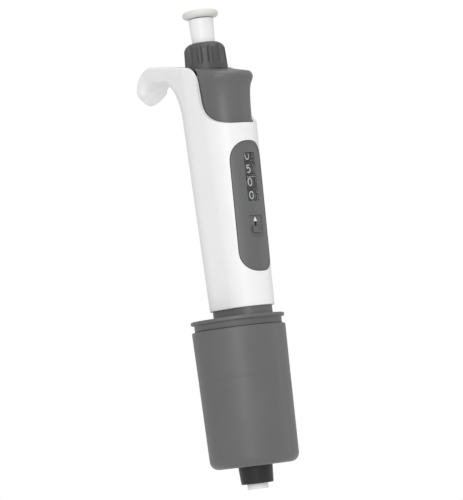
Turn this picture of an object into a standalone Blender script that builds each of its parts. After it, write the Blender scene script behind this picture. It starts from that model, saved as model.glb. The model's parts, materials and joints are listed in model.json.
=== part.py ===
"""Hand-held adjustable pipette, 1 to 10 ml, as an assembly of separate pieces.

Metres, +Z up along the pipette's axis. The origin is the middle of the flat end
of the nozzle filter. The display faces -Y and the finger hook points to +Y.
The rest pose is 5.00 ml with the button up. Heights are chained upwards from the
nozzle, so a longer piece lifts what stands on it.
"""
import math

import bmesh
import bpy
from mathutils import Matrix, Vector

# Fits
GAP = 0.0003            # between pieces that touch or run on each other
FINE = 24               # sides of a large turned piece
PLAIN = 16              # sides of a small turned piece
OUTSIDE = 32            # sides of the sleeve, its collar and the knob's hole
SECTION_SIDES = 40      # sides of the handle's section

# Travels
VOLUME_UP = 0.005       # the stop nut rises this far from 5 ml to 10 ml
VOLUME_DOWN = 0.004     # and falls this far from 5 ml to 1 ml
BLOWOUT_TRAVEL = 0.0028
PRESS_TRAVEL = VOLUME_UP + BLOWOUT_TRAVEL
LOCK_TRAVEL = 0.0040

# Nozzle
CONE_TIP_Z = 0.0028
CONE_TIP_RADIUS = 0.0083
CONE_TIP_FILLET = 0.0006
CONE_LENGTH = 0.0092    # of its tapered part
CONE_ROOT_Z = CONE_TIP_Z + CONE_LENGTH
CONE_ROOT_RADIUS = 0.0089
NOZZLE_SCREWS = 3
NOZZLE_SCREW_RADIUS = 0.0009
NOZZLE_SCREW_HEAD = 0.0015
NOZZLE_SCREW_GRIP = 0.0021
NOZZLE_FLANGE_RADIUS = CONE_ROOT_RADIUS + 2 * NOZZLE_SCREW_HEAD + 2 * GAP
NOZZLE_FLANGE_THICK = 0.0024
NOZZLE_BORE = 0.0020
FILTER_RADIUS = 0.0054
FILTER_LENGTH = 0.0080
FILTER_EDGE = 0.0003
NOZZLE_GASKET_RADIUS = 0.0043
NOZZLE_GASKET_WIDTH = 0.0018

# Plunger rod, and the guide tube round its springs
ROD_RADIUS = 0.0025
TUBE_BORE = 0.0069
TUBE_WALL = 0.0010
TUBE_RADIUS = TUBE_BORE + TUBE_WALL

# Air cylinder and piston: 1000 mm2, so 1 mm of stroke is 1 ml
BORE_RADIUS = 0.0180
BARREL_WALL = 0.0022
BARREL_BOTTOM_Z = 0.0210
BARREL_HEIGHT = 0.0490
BARREL_TOP_Z = BARREL_BOTTOM_Z + BARREL_HEIGHT
BARREL_FLOOR = 0.0030
BARREL_CHAMFER = 0.0045
CHAMBER_CAP_THICK = 0.0047
CHAMBER_SPIGOT = 0.0040
CHAMBER_BOSS_ROOM = 0.0004
CHAMBER_BOSS_RADIUS = TUBE_BORE - CHAMBER_BOSS_ROOM
CHAMBER_BOSS_HEIGHT = 0.0093    # above the cylinder
CHAMBER_BOSS_TOP_Z = BARREL_TOP_Z + CHAMBER_BOSS_HEIGHT
TUBE_BOTTOM_Z = BARREL_TOP_Z + CHAMBER_CAP_THICK + 2 * GAP
BUSH_WALL = 0.0014
BUSH_RADIUS = ROD_RADIUS + GAP + BUSH_WALL
GASKET_THICK = 0.0015
GASKET_WIDTH = 0.0015
PISTON_ROOM = 0.0006
PISTON_RADIUS = BORE_RADIUS - PISTON_ROOM
PISTON_CLEARANCE = 0.0004   # above the cylinder's floor at 1 ml with the button fully down
PISTON_BOTTOM_Z = BARREL_BOTTOM_Z + BARREL_FLOOR + PISTON_CLEARANCE + VOLUME_DOWN + PRESS_TRAVEL
PISTON_HEIGHT = 0.0103
PISTON_SEAT = 0.0036        # the rod stands this far above the piston's bottom
PISTON_SEAT_Z = PISTON_BOTTOM_Z + PISTON_SEAT
SEAL_RADIUS = BORE_RADIUS - GAP
SEAL_RISE = 0.0041
SEAL_Z = PISTON_BOTTOM_Z + SEAL_RISE
SEAL_THICK = 0.0030
SEAL_DEPTH = 0.0020
SCREW_RADIUS = 0.0014
SCREW_HEAD_RADIUS = 0.0027
SCREW_HEAD_THICK = 0.0020
SCREW_HEAD_SINK = 0.0002
SCREW_LENGTH = 0.0095

# Ejector sleeve and collar
SLEEVE_BOTTOM_Z = 0.0119
SLEEVE_WALL = 0.0018
SLEEVE_ROOM = 0.0010        # round the cylinder at the sleeve's low end
SLEEVE_LOW_RADIUS = BORE_RADIUS + BARREL_WALL + SLEEVE_ROOM + SLEEVE_WALL
SLEEVE_TAPER = 0.0012
SLEEVE_TOP_RADIUS = SLEEVE_LOW_RADIUS + SLEEVE_TAPER
SLEEVE_HEADROOM = 0.0130    # above the cylinder
SLEEVE_TOP_Z = BARREL_TOP_Z + SLEEVE_HEADROOM
SLEEVE_CORNER = 0.0046
SLEEVE_FLOOR = 0.0020
SLEEVE_HOLE_ROOM = 0.0005
SLEEVE_HOLE = CONE_ROOT_RADIUS + SLEEVE_HOLE_ROOM
COLLAR_PLUG_THICK = 0.0012
COLLAR_PLUG_LENGTH = 0.0055
COLLAR_PLUG_Z = SLEEVE_TOP_Z - COLLAR_PLUG_LENGTH
GROOVE_HEIGHT = 0.0034
GROOVE_DEPTH = 0.0016
FLANGE_RADIUS = SLEEVE_TOP_RADIUS
GROOVE_RADIUS = FLANGE_RADIUS - GROOVE_DEPTH
FLANGE_BOTTOM_Z = SLEEVE_TOP_Z + GAP + GROOVE_HEIGHT
FLANGE_THICK = 0.0018
FLANGE_EDGE_Z = FLANGE_BOTTOM_Z + FLANGE_THICK
FLANGE_CROWN = 0.0004
FLANGE_TOP_Z = FLANGE_EDGE_Z + FLANGE_CROWN
NECK_INSET = 0.0014
NECK_WALL = 0.0015
NECK_SHOWN = 0.0038
NECK_HIDDEN = 0.0113
NECK_ROOM = 0.0013
PUSH_ROD_RADIUS = 0.0013
PUSH_ROD_Y = TUBE_RADIUS + GAP + PUSH_ROD_RADIUS
PUSH_ROD_SEAT = 0.0035
PUSH_ROD_BOTTOM_Z = SLEEVE_TOP_Z + GAP + PUSH_ROD_SEAT
ROD_BOSS_WALL = 0.0010
ROD_BOSS_RADIUS = PUSH_ROD_RADIUS + GAP + ROD_BOSS_WALL
ROD_BOSS_HEIGHT = 0.0092
ROD_BOSS_TOP_Z = PUSH_ROD_BOTTOM_Z + ROD_BOSS_HEIGHT

# Counter: sizes that the handle is built round
HANDLE_WALL = 0.0018
COUNTER_FORWARD = 0.0035    # of the middle of the handle's front circle
DRUM_RADIUS = 0.0088
DRUM_ROOM = 0.0010          # in front of the drums, at the top of the display
DRUM_PITCH = 0.0068
DRUM_RING_TEETH = 20
DRUM_RING_THICK = 0.0016
CARRY_MODULE = DRUM_RADIUS / (DRUM_RING_TEETH / 2 + 1)

# Handle: the section is the hull of a circle on the axis and one in front of it
HANDLE_BOTTOM_Z = FLANGE_TOP_Z + NECK_SHOWN
SECTION_LOW = 0.0053        # the radii are given at these heights above the handle's bottom
SECTION_HIGH = 0.0823
HANDLE_LOW_Z = HANDLE_BOTTOM_Z + SECTION_LOW
HANDLE_HIGH_Z = HANDLE_BOTTOM_Z + SECTION_HIGH
BACK_RADIUS_HIGH = 0.0152
BACK_TAPER = 0.0015
BACK_RADIUS_LOW = BACK_RADIUS_HIGH - BACK_TAPER
FRONT_RADIUS_HIGH = DRUM_RADIUS + COUNTER_FORWARD + DRUM_ROOM + HANDLE_WALL
FRONT_TAPER = 0.0019
FRONT_RADIUS_LOW = FRONT_RADIUS_HIGH - FRONT_TAPER
FRONT_OFFSET = 0.0105
NECK_TOP_Z = HANDLE_BOTTOM_Z + NECK_HIDDEN
SKIRT_WALL = 0.0011
SKIRT_TOP_Z = NECK_TOP_Z + NECK_ROOM
LEDGE_HEIGHT = 0.0415       # above the handle's bottom
LEDGE_Z = HANDLE_BOTTOM_Z + LEDGE_HEIGHT
LEDGE_THICK = 0.0027
LEDGE_WALL = 0.0029
WINDOW_RISE = 0.0241
WINDOW_Z = LEDGE_Z + WINDOW_RISE    # middle of the window
BEZEL_BELOW = 0.0484
BEZEL_ABOVE = 0.0187
BEZEL_BOTTOM_Z = WINDOW_Z - BEZEL_BELOW
BEZEL_TOP_Z = WINDOW_Z + BEZEL_ABOVE
BROW = 0.0091               # between the display and the ejector button's opening
OPENING_BOTTOM_Z = BEZEL_TOP_Z + BROW
OPENING_ROUND = 0.0143
OPENING_SIDE_Z = OPENING_BOTTOM_Z + OPENING_ROUND
OPENING_SIDE_Y = 0.0093
OPENING_FRONT_Y = 0.0265
OPENING_DEPTH = 0.0327
TOP_PLANE_Z = OPENING_BOTTOM_Z + OPENING_DEPTH  # height of the handle's top at the axis
TOP_SLOPE = 0.185            # it rises towards the hook
TOP_WEB = 0.0042
SHOULDER_Y = 0.0018         # the shoulder beside the ejector button starts here
SHOULDER_RADIUS = 0.0107
SHOULDER_DROP = 0.0103

# Finger hook
HOOK_HALF_WIDTH = 0.0090
HOOK_TAPER_Y = 0.0410        # the arm narrows from the handle's back circle to this far out
HOOK_REACH_Y = 0.0498
HOOK_BEND_RUN = 0.0152
HOOK_BEND_Y = HOOK_REACH_Y - HOOK_BEND_RUN
HOOK_BEND_DROP = 0.0065
HOOK_BEND_Z = TOP_PLANE_Z - HOOK_BEND_DROP
HOOK_TIP_OUT = 0.0004
HOOK_TIP_Y = HOOK_REACH_Y + HOOK_TIP_OUT
HOOK_TIP_DROP = 0.0122
HOOK_TIP_Z = TOP_PLANE_Z - HOOK_TIP_DROP
HOOK_TIP_HEIGHT = 0.0060
HOOK_TIP_THICK = 0.0018
HOOK_THICK = 0.0057
HOOK_INNER_RUN = 0.0088
HOOK_ARM = 0.0096
HOOK_ROOT_Y = 0.0060
HOOK_FLARE_DROP = 0.0268     # the handle starts to flare into the hook this far below its top
HOOK_FLARE_Z = TOP_PLANE_Z - HOOK_FLARE_DROP
HOOK_FLARE_OUT = 0.0168
HOOK_FLARE_SINK = 0.00005    # the flare's skin starts this far inside the handle's

# Knob, which turns in the handle's top
KNOB_SINK = 0.0022
KNOB_BOTTOM_Z = TOP_PLANE_Z - KNOB_SINK
KNOB_HEIGHT = 0.0148
KNOB_TOP_Z = KNOB_BOTTOM_Z + KNOB_HEIGHT
KNOB_RADIUS_LOW = 0.0112
KNOB_RADIUS_HIGH = 0.0106
FLUTES = 12
FLUTE_TURN = -10            # degrees that the ring of grooves is turned by
FLUTE_RADIUS = 0.0016
FLUTE_DEPTH = 0.0009
FLUTE_RISE = 0.0031
FLUTE_BOTTOM_Z = KNOB_BOTTOM_Z + FLUTE_RISE

# Button, stem and rod
CAP_RADIUS = 0.0093
CAP_THICK = 0.0041
CAP_RIM_RADIUS = 0.0019
STEM_SHOWN = 0.0132         # between the knob and the cap
STEM_HIDDEN = 0.0054        # in the knob
CAP_BOTTOM_Z = KNOB_TOP_Z + STEM_SHOWN
CAP_TOP_Z = CAP_BOTTOM_Z + CAP_THICK
STEM_TOP_RADIUS = 0.0065
STEM_RADIUS = 0.0059
STEM_CLEARANCE = 0.00035
STEM_BOTTOM_Z = KNOB_TOP_Z - STEM_HIDDEN
SPIGOT_RADIUS = 0.0030
SPIGOT_LENGTH = 0.0022
ROD_TOP_DEPTH = 0.0049      # of the rod's end, under the cap
ROD_TOP_Z = CAP_BOTTOM_Z - ROD_TOP_DEPTH

# Knob's hub, its clip and its bearing
HUB_WALL = 0.00175
HUB_RADIUS = STEM_TOP_RADIUS + STEM_CLEARANCE + HUB_WALL
HUB_LENGTH = 0.0131
HUB_BOTTOM_Z = KNOB_BOTTOM_Z - HUB_LENGTH
HUB_FLOOR = 0.0100
HUB_FLOOR_Z = HUB_BOTTOM_Z + HUB_FLOOR
CLIP_THICK = 0.0008
CLIP_GROOVE_DEPTH = 0.0008
CLIP_PROUD = 0.0016
CLIP_RADIUS = HUB_RADIUS + CLIP_PROUD
BEARING_RISE = 0.0027
BEARING_THICK = 0.0078
BEARING_BOTTOM_Z = HUB_BOTTOM_Z + BEARING_RISE
BEARING_TOP_Z = BEARING_BOTTOM_Z + BEARING_THICK
BEARING_WALL = 0.0019
BEARING_RADIUS = HUB_RADIUS + GAP + BEARING_WALL

# Spindle, stop nut and stop collar
SPINDLE_WALL = 0.0008
SPINDLE_RADIUS = ROD_RADIUS + GAP + SPINDLE_WALL
SPINDLE_SEAT = 0.0075
SPINDLE_END_ROOM = 0.0008
NUT_RISE = 0.0168           # of the nut's bottom above the handle's
NUT_BOTTOM_Z = HANDLE_BOTTOM_Z + NUT_RISE
NUT_FLOOR = 0.0022
NUT_CUP = 0.0095
NUT_THREAD_Z = NUT_BOTTOM_Z + NUT_CUP
NUT_HEIGHT = 0.0195
NUT_TOP_Z = NUT_BOTTOM_Z + NUT_HEIGHT
NUT_RADIUS = TUBE_BORE - GAP
NUT_CUP_ROOM = 0.0008
NUT_CUP_RADIUS = SPINDLE_RADIUS + NUT_CUP_ROOM
NUT_LUG_RISE = 0.0115
NUT_LUG_Z = NUT_BOTTOM_Z + NUT_LUG_RISE
NUT_LUG_HEIGHT = 0.0060
NUT_LUG_WIDTH = 0.0024
SPINDLE_BOTTOM_Z = NUT_BOTTOM_Z + NUT_FLOOR + VOLUME_UP + SPINDLE_END_ROOM
COLLAR_ROOM = 0.0010
COLLAR_RADIUS = TUBE_BORE - COLLAR_ROOM
COLLAR_THICK = 0.0045
COLLAR_SKIRT_WALL = 0.0011
COLLAR_SKIRT_RADIUS = ROD_RADIUS + GAP + COLLAR_SKIRT_WALL
COLLAR_SKIRT = 0.0101
COLLAR_SKIRT_Z = NUT_BOTTOM_Z - GAP - COLLAR_THICK - COLLAR_SKIRT
ROD_SPLIT_DEPTH = 0.0025
ROD_SPLIT_Z = NUT_BOTTOM_Z - ROD_SPLIT_DEPTH

# Inner frame, a plate on the handle's ledge and the guide tube under it
PLATE_BOTTOM_Z = LEDGE_Z + GAP
PLATE_THICK = 0.0035
PLATE_FRONT_Y = 0.0060

# Counter
COUNTER_Y = FRONT_OFFSET + COUNTER_FORWARD  # shaft axis in front of the spindle
GEAR_TEETH = 14
TOOTH_TIP = 0.75            # in modules, above and below the pitch circle
TOOTH_ROOT = 1.05
TOOTH_TIP_SHARE = 0.09      # half a tooth's width at its tip and root, as a share of the pitch
TOOTH_ROOT_SHARE = 0.22
GEAR_ROOM = 0.0006
GEAR_BOTTOM_Z = WINDOW_Z + 2 * DRUM_PITCH + GEAR_ROOM
GEAR_THICK = 0.0020
SHAFT_RADIUS = 0.0012
PINION_TEETH = 6
PINION_SHAFT_RADIUS = 0.0008
PINION_TURN = math.radians(60)
WHEEL_ROOM = 0.0005
WHEEL_THICK = 0.0014
WHEEL_BOTTOM_Z = WINDOW_Z - 2 * DRUM_PITCH - WHEEL_ROOM - WHEEL_THICK
FRAME_PLATE = 0.0011
FRAME_DROP = 0.0023
FRAME_LOW_Z = WHEEL_BOTTOM_Z - FRAME_DROP
FRAME_SPINE_X = 0.0107
FRAME_SPINE_THICK = 0.0012
FRAME_SPINE_WIDTH = 0.0040
FRAME_LEG_WIDTH = 0.0080
FRAME_BACK_WALL = 0.0017
FRAME_BACK = SPINDLE_RADIUS + GAP + FRAME_BACK_WALL
FRAME_FRONT = 0.0040
FRAME_EDGE = 0.0024

# Display panel, window and lock
BEZEL_HALF_WIDTH = 0.0103
BEZEL_END = 0.0115          # height of its rounded ends
BEZEL_FULLNESS = 2.5         # power of the ends' superellipse, 2 for an ellipse
PANEL_BACK_Y = 0.0120
WINDOW_WIDTH = 0.0070
WINDOW_HEIGHT = 0.0248
LENS_SET_BACK = 0.0001
LOCK_PAD_HEIGHT = 0.0104
LOCK_PAD_DEPTH = 0.0026
LOCK_PAD_TOP_Z = WHEEL_BOTTOM_Z - GAP - LOCK_TRAVEL
LOCK_PAD_Z = (LOCK_PAD_TOP_Z - LOCK_PAD_HEIGHT, LOCK_PAD_TOP_Z)
LOCK_GRIP_DROP = 0.0055
LOCK_GRIP_HEIGHT = 0.0034
LOCK_GRIP_WIDTH = 0.0054
LOCK_GRIP_PROUD = 0.0002
LOCK_GRIP_TOP_Z = LOCK_PAD_TOP_Z - LOCK_GRIP_DROP
LOCK_GRIP_Z = (LOCK_GRIP_TOP_Z - LOCK_GRIP_HEIGHT, LOCK_GRIP_TOP_Z)
LOCK_SLOT_WIDTH = 0.0024
LOCK_STEM_HEIGHT = 0.0020
RECESS_ABOVE = 0.0016
RECESS_BELOW = 0.0024
RECESS_BOTTOM_Z = LOCK_GRIP_Z[0] - RECESS_BELOW
RECESS_TOP_Z = LOCK_GRIP_TOP_Z + LOCK_TRAVEL + RECESS_ABOVE
RECESS_WIDTH = 0.0086
RECESS_DEPTH = 0.0010

# Ejector button, yoke and spring
BUTTON_LAP = 0.0012
BUTTON_BOTTOM_Z = OPENING_BOTTOM_Z - BUTTON_LAP
BUTTON_WALL = 0.0016
BUTTON_INSET = 0.0023
LIP_DROP = 0.0085
LIP_Z = TOP_PLANE_Z - LIP_DROP
LIP_FLARE = 0.0029
FLARE_RUN = 0.0100
MIDDLE_Y = -0.0130
BUTTON_BACK_Y = 0.0010
EJECTOR_SIDE_DROP = 0.0024
BUTTON_SET_DOWN = 0.0004
BUTTON_TOP_Z = TOP_PLANE_Z - BUTTON_SET_DOWN
BUTTON_TOP_SLOPE = 0.25     # the top falls forwards by this
BUTTON_TOP_CROSS = 4.0      # and sideways by this times the distance from the middle squared
BUTTON_TOP_THICK = 0.0022
YOKE_RISE = 0.0088
YOKE_BOTTOM_Z = OPENING_BOTTOM_Z + YOKE_RISE
YOKE_THICK = 0.0030
YOKE_ROOM = 0.0004
YOKE_BACK_Y = 0.0060
YOKE_BACK_RADIUS = 0.0063
EJECT_SPRING_LENGTH = 0.0197
SPRING_CLIP_Z = PLATE_BOTTOM_Z + PLATE_THICK + 2 * GAP + EJECT_SPRING_LENGTH
SPRING_CLIP_THICK = 0.0015
SPRING_CLIP_RADIUS = 0.0030

# Springs
MAIN_SPRING_RADIUS = 0.0050
MAIN_SPRING_WIRE = 0.00055
BLOWOUT_SPRING_RADIUS = 0.0034
BLOWOUT_SPRING_WIRE = 0.00045
EJECT_SPRING_ROOM = 0.0008
EJECT_SPRING_RADIUS = PUSH_ROD_RADIUS + EJECT_SPRING_ROOM
EJECT_SPRING_WIRE = 0.00035
SPRING_STEPS = 8            # straight pieces in each turn of a spring

WHITE = (0.82, 0.82, 0.82)
DARK_GREY = (0.13, 0.13, 0.13)
BLACK = (0.02, 0.02, 0.02)
STEEL = (0.62, 0.63, 0.64)

CUT_REACH = 0.1             # a cutter runs at least this far in the direction that it cuts
CUT_PAST = 0.001            # and this far past a face that it cuts through
WELD = 1e-6


def clear_scene():
    for obj in list(bpy.data.objects):
        bpy.data.objects.remove(obj)


def body(name, x=0.0, y=0.0):
    """An empty on a moving body's axis, which carries that body's pieces."""
    empty = bpy.data.objects.new(name + "_axis", None)
    empty.location = (x, y, 0.0)
    bpy.context.scene.collection.objects.link(empty)
    return empty


def finish(name, colour, roughness, metallic=0.0, alpha=1.0):
    material = bpy.data.materials.new(name + "_finish")
    material.use_nodes = True
    shader = material.node_tree.nodes["Principled BSDF"]
    shader.inputs["Base Color"].default_value = (*colour, 1.0)
    shader.inputs["Roughness"].default_value = roughness
    shader.inputs["Metallic"].default_value = metallic
    shader.inputs["Alpha"].default_value = alpha
    material.diffuse_color = (*colour, alpha)
    return material


def place(name, bm, parent=None, at=(0.0, 0.0)):
    """Makes an object of the mesh, with its origin at the point (x, y) and its parent the body's empty."""
    bmesh.ops.recalc_face_normals(bm, faces=bm.faces)
    mesh = bpy.data.meshes.new(name)
    bm.to_mesh(mesh)
    bm.free()
    mesh.shade_smooth()
    mesh.set_sharp_from_angle(angle=math.radians(32))
    obj = bpy.data.objects.new(name, mesh)
    bpy.context.scene.collection.objects.link(obj)
    obj.parent = parent
    obj.location = Vector((*at, 0.0)) - (parent.location if parent else Vector())
    return obj


def painted(obj, colour, roughness, metallic=0.0, alpha=1.0):
    obj.data.materials.append(finish(obj.name, colour, roughness, metallic, alpha))
    return obj


def plastic(obj, colour=DARK_GREY):
    return painted(obj, colour, 0.45)


def metal(obj):
    return painted(obj, STEEL, 0.3, 1.0)


def boolean(obj, other, operation):
    """Adds an exact Boolean with another object, which becomes a hidden helper."""
    modifier = obj.modifiers.new(other.name, "BOOLEAN")
    modifier.operation = operation
    modifier.solver = "EXACT"
    modifier.object = other
    other.hide_render = True
    other.display_type = "WIRE"


def cut(obj, bm, at=(0.0, 0.0)):
    boolean(obj, place(obj.name + "_cutter", bm, at=at), "DIFFERENCE")


def join(obj, bm, at=(0.0, 0.0)):
    boolean(obj, place(obj.name + "_joined", bm, at=at), "UNION")


def keep_inside(obj, bm, at=(0.0, 0.0)):
    boolean(obj, place(obj.name + "_kept", bm, at=at), "INTERSECT")


def turned(profile, sides=PLAIN):
    """A solid of revolution of (radius, height) points, closed unless both ends are on the axis."""
    bm = bmesh.new()
    points = [bm.verts.new((r, 0.0, z)) for r, z in profile]
    pairs = list(zip(points, points[1:]))
    if profile[0][0] > 0 or profile[-1][0] > 0:
        pairs.append((points[-1], points[0]))
    lines = [bm.edges.new(pair) for pair in pairs]
    bmesh.ops.spin(
        bm, geom=points + lines, axis=(0, 0, 1), cent=(0, 0, 0), angle=math.tau, steps=sides
    )
    bmesh.ops.remove_doubles(bm, verts=bm.verts, dist=WELD)
    return bm


def swung(bm, degrees):
    """The same mesh turned about the axis."""
    turn = Matrix.Rotation(math.radians(degrees), 3, "Z")
    bmesh.ops.rotate(bm, verts=bm.verts, cent=(0, 0, 0), matrix=turn)
    return bm


def rod(radius, low, high, sides=PLAIN):
    return turned([(0.0, low), (radius, low), (radius, high), (0.0, high)], sides)


def tube(bore, radius, low, high, sides=PLAIN):
    return turned([(bore, low), (radius, low), (radius, high), (bore, high)], sides)


def loft(rings):
    """A closed skin through rings that have the same number of points."""
    bm = bmesh.new()
    rows = [[bm.verts.new(p) for p in ring] for ring in rings]
    count = len(rows[0])
    for low, high in zip(rows, rows[1:]):
        for i in range(count):
            j = (i + 1) % count
            bm.faces.new((low[i], low[j], high[j], high[i]))
    bm.faces.new(rows[0])
    bm.faces.new(rows[-1])
    return bm


def prism(outline, low, high, direction="z"):
    """An outline carried from low to high along z, x or y."""
    turn = {"z": lambda u, v, w: (u, v, w), "x": lambda u, v, w: (w, u, v), "y": lambda u, v, w: (u, w, v)}
    put = turn[direction]
    return loft([[put(u, v, w) for u, v in outline] for w in (low, high)])


def block(x, y, z):
    return prism([(x[0], y[0]), (x[1], y[0]), (x[1], y[1]), (x[0], y[1])], z[0], z[1])


def ring_prism(outer, inner, low, high):
    """A prism with a hole, from two outlines with the same number of points."""
    bm = bmesh.new()
    rows = [
        [bm.verts.new((x, y, z)) for x, y in outline]
        for outline, z in ((outer, low), (outer, high), (inner, high), (inner, low))
    ]
    count = len(outer)
    for one, two in zip(rows, rows[1:] + rows[:1]):
        for i in range(count):
            j = (i + 1) % count
            bm.faces.new((one[i], one[j], two[j], two[i]))
    return bm


def arc(centre, radii, start, end, steps):
    """Points of an elliptical arc, angles in degrees."""
    turns = [math.radians(start + (end - start) * i / steps) for i in range(steps + 1)]
    return [(centre[0] + radii[0] * math.cos(a), centre[1] + radii[1] * math.sin(a)) for a in turns]


def hull_of(circles, sides=SECTION_SIDES):
    """The outline round circles given as (x, y, radius), one point for each direction of its normal."""
    outline = []
    for i in range(sides):
        turn = math.tau * (i + 0.5) / sides
        across, along = math.cos(turn), math.sin(turn)
        x, y, radius = max(circles, key=lambda c: c[0] * across + c[1] * along + c[2])
        outline.append((x + radius * across, y + radius * along))
    return outline


def taper(low, high, z):
    """A value that runs in a straight line from the handle's low section to its high one."""
    return low + (high - low) * (z - HANDLE_LOW_Z) / (HANDLE_HIGH_Z - HANDLE_LOW_Z)


def back_radius(z):
    return taper(BACK_RADIUS_LOW, BACK_RADIUS_HIGH, z)


def front_radius(z):
    return taper(FRONT_RADIUS_LOW, FRONT_RADIUS_HIGH, z)


def handle_section(z, inset=0.0):
    return hull_of([(0, 0, back_radius(z) - inset), (0, -FRONT_OFFSET, front_radius(z) - inset)])


def handle_ring(z, inset=0.0):
    return [(x, y, z) for x, y in handle_section(z, inset)]


def panel_outline(half_width, low, high, steps=10):
    """The display's upright outline in x and z, with superellipses for ends."""
    points = []
    for middle, start in ((high - BEZEL_END, 0), (low + BEZEL_END, 180)):
        for across, up in arc((0, 0), (1, 1), start, start + 180, steps):
            wide = math.copysign(abs(across) ** (2 / BEZEL_FULLNESS), across)
            tall = math.copysign(abs(up) ** (2 / BEZEL_FULLNESS), up)
            points.append((half_width * wide, middle + BEZEL_END * tall))
    return points


def button_top(x, y):
    """Height of the ejector button's thumb surface."""
    ahead = max(0.0, SHOULDER_Y - SHOULDER_RADIUS / 2 - y)
    return BUTTON_TOP_Z - BUTTON_TOP_SLOPE * ahead - BUTTON_TOP_CROSS * x**2


def shoulder(gap=0.0, start=90, end=180, steps=6):
    """The rounded shoulder of the handle beside the ejector button, in y and z."""
    radius = SHOULDER_RADIUS + gap
    return arc((SHOULDER_Y, TOP_PLANE_Z - SHOULDER_DROP), (radius, radius), start, end, steps)


def top_plane(y):
    return TOP_PLANE_Z + TOP_SLOPE * y


def handle_shell():
    top = top_plane(HOOK_REACH_Y)
    shell = place("handle_shell", loft([handle_ring(z) for z in (HANDLE_BOTTOM_Z, HANDLE_HIGH_Z, top)]))
    boolean(shell, hook(), "UNION")
    above = [(-CUT_REACH, top_plane(-CUT_REACH)), (HOOK_BEND_Y, top_plane(HOOK_BEND_Y))]
    above += [(HOOK_BEND_Y, CUT_REACH * 3), (-CUT_REACH, CUT_REACH * 3)]
    cut(shell, prism(above, -CUT_REACH, CUT_REACH, "x"))
    web_z = TOP_PLANE_Z - TOP_WEB
    walls = [
        (HANDLE_BOTTOM_Z - CUT_PAST, SKIRT_WALL), (SKIRT_TOP_Z, SKIRT_WALL),
        (SKIRT_TOP_Z, HANDLE_WALL), (LEDGE_Z - LEDGE_THICK, HANDLE_WALL),
        (LEDGE_Z - LEDGE_THICK, LEDGE_WALL), (LEDGE_Z, LEDGE_WALL),
        (LEDGE_Z, HANDLE_WALL), (web_z, HANDLE_WALL),
    ]
    cut(shell, loft([handle_ring(z, wall) for z, wall in walls]))
    cut(shell, rod(KNOB_RADIUS_LOW + GAP, web_z - CUT_PAST, top + CUT_PAST, OUTSIDE))
    front = [(SHOULDER_Y, CUT_REACH * 3), (-CUT_REACH, CUT_REACH * 3), (-CUT_REACH, OPENING_BOTTOM_Z)]
    sweep = (OPENING_FRONT_Y - OPENING_SIDE_Y, OPENING_SIDE_Z - OPENING_BOTTOM_Z)
    front += arc((-OPENING_FRONT_Y, OPENING_SIDE_Z), sweep, -90, 0, 6) + list(reversed(shoulder()))
    cut(shell, prism(front, -CUT_REACH, CUT_REACH, "x"))
    boolean(shell, button_room(web_z, top), "DIFFERENCE")
    panel = panel_outline(BEZEL_HALF_WIDTH, BEZEL_BOTTOM_Z, BEZEL_TOP_Z)
    cut(shell, prism(panel, -CUT_REACH, -PANEL_BACK_Y, "y"))
    return painted(shell, WHITE, 0.35)


def button_room(web_z, top):
    """The space in the handle's top that the back of the ejector button goes down through."""
    room = place("button_room", loft([handle_ring(z, HANDLE_WALL + GAP / 2) for z in (web_z - CUT_PAST, top)]))
    rear_y = SHOULDER_Y - SHOULDER_RADIUS / 2
    keep_inside(room, block((-CUT_REACH, CUT_REACH), (-CUT_REACH, rear_y), (HANDLE_BOTTOM_Z, CUT_REACH * 3)))
    return room


def hook_taper():
    """Sine of the angle at which the hook's sides close on each other, seen from above."""
    return (back_radius(TOP_PLANE_Z) - HOOK_HALF_WIDTH) / HOOK_TAPER_Y


def hook_half_width(y):
    """Half width of the hook's arm, on the line that touches the handle's back circle."""
    sine = hook_taper()
    return (back_radius(TOP_PLANE_Z) - HOOK_FLARE_SINK - y * sine) / math.sqrt(1 - sine**2)


def hook_under_z():
    return top_plane(HOOK_BEND_Y) - HOOK_ARM


def hook():
    """The finger hook: a side outline carried across the handle, cut to a taper from above and to a rounded
    tip, with a flare under it that grows out of the handle."""
    start = HOOK_BEND_Z
    inner_y = HOOK_REACH_Y - HOOK_THICK
    under = hook_under_z()
    bend = (HOOK_REACH_Y - HOOK_BEND_Y, top_plane(HOOK_BEND_Y) + GAP - start)
    outline = [(HOOK_ROOT_Y, under), (HOOK_ROOT_Y, top_plane(HOOK_ROOT_Y) + GAP)]
    outline += arc((HOOK_BEND_Y, start), bend, 90, 0, 8)
    outline += [(HOOK_TIP_Y, HOOK_TIP_Z - CUT_PAST), (HOOK_TIP_Y - HOOK_TIP_THICK, HOOK_TIP_Z - CUT_PAST)]
    outline += arc((inner_y - HOOK_INNER_RUN, start), (HOOK_INNER_RUN, under - start), 0, 90, 6)
    wide = back_radius(TOP_PLANE_Z)
    blade = place("hook", prism(outline, -wide, wide, "x"))
    near, far = hook_half_width(HOOK_ROOT_Y), hook_half_width(HOOK_TAPER_Y)
    plan = [(near, HOOK_ROOT_Y - CUT_PAST), (far, HOOK_TAPER_Y), (far, CUT_REACH)]
    plan += [(-x, y) for x, y in reversed(plan)]
    keep_inside(blade, prism(plan, HOOK_TIP_Z - CUT_REACH, CUT_REACH * 3))
    boolean(blade, hook_corners(), "DIFFERENCE")
    join(blade, hook_flare())
    return blade


def hook_corners():
    """What is cut off the hook's tip to make it round: a block with a half ellipse taken out of it."""
    middle = HOOK_TIP_Z + HOOK_TIP_HEIGHT
    far = hook_half_width(HOOK_TAPER_Y)
    span = (HOOK_BEND_Y, CUT_REACH)
    corners = place("hook_corners", block((-CUT_REACH, CUT_REACH), span, (HOOK_TIP_Z - CUT_REACH, middle)))
    face = arc((0, middle), (far, HOOK_TIP_HEIGHT), 180, 360, 12)
    face += [(far, CUT_REACH * 3), (-far, CUT_REACH * 3)]
    cut(corners, prism(face, 0, CUT_REACH * 2, "y"))
    return corners


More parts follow.
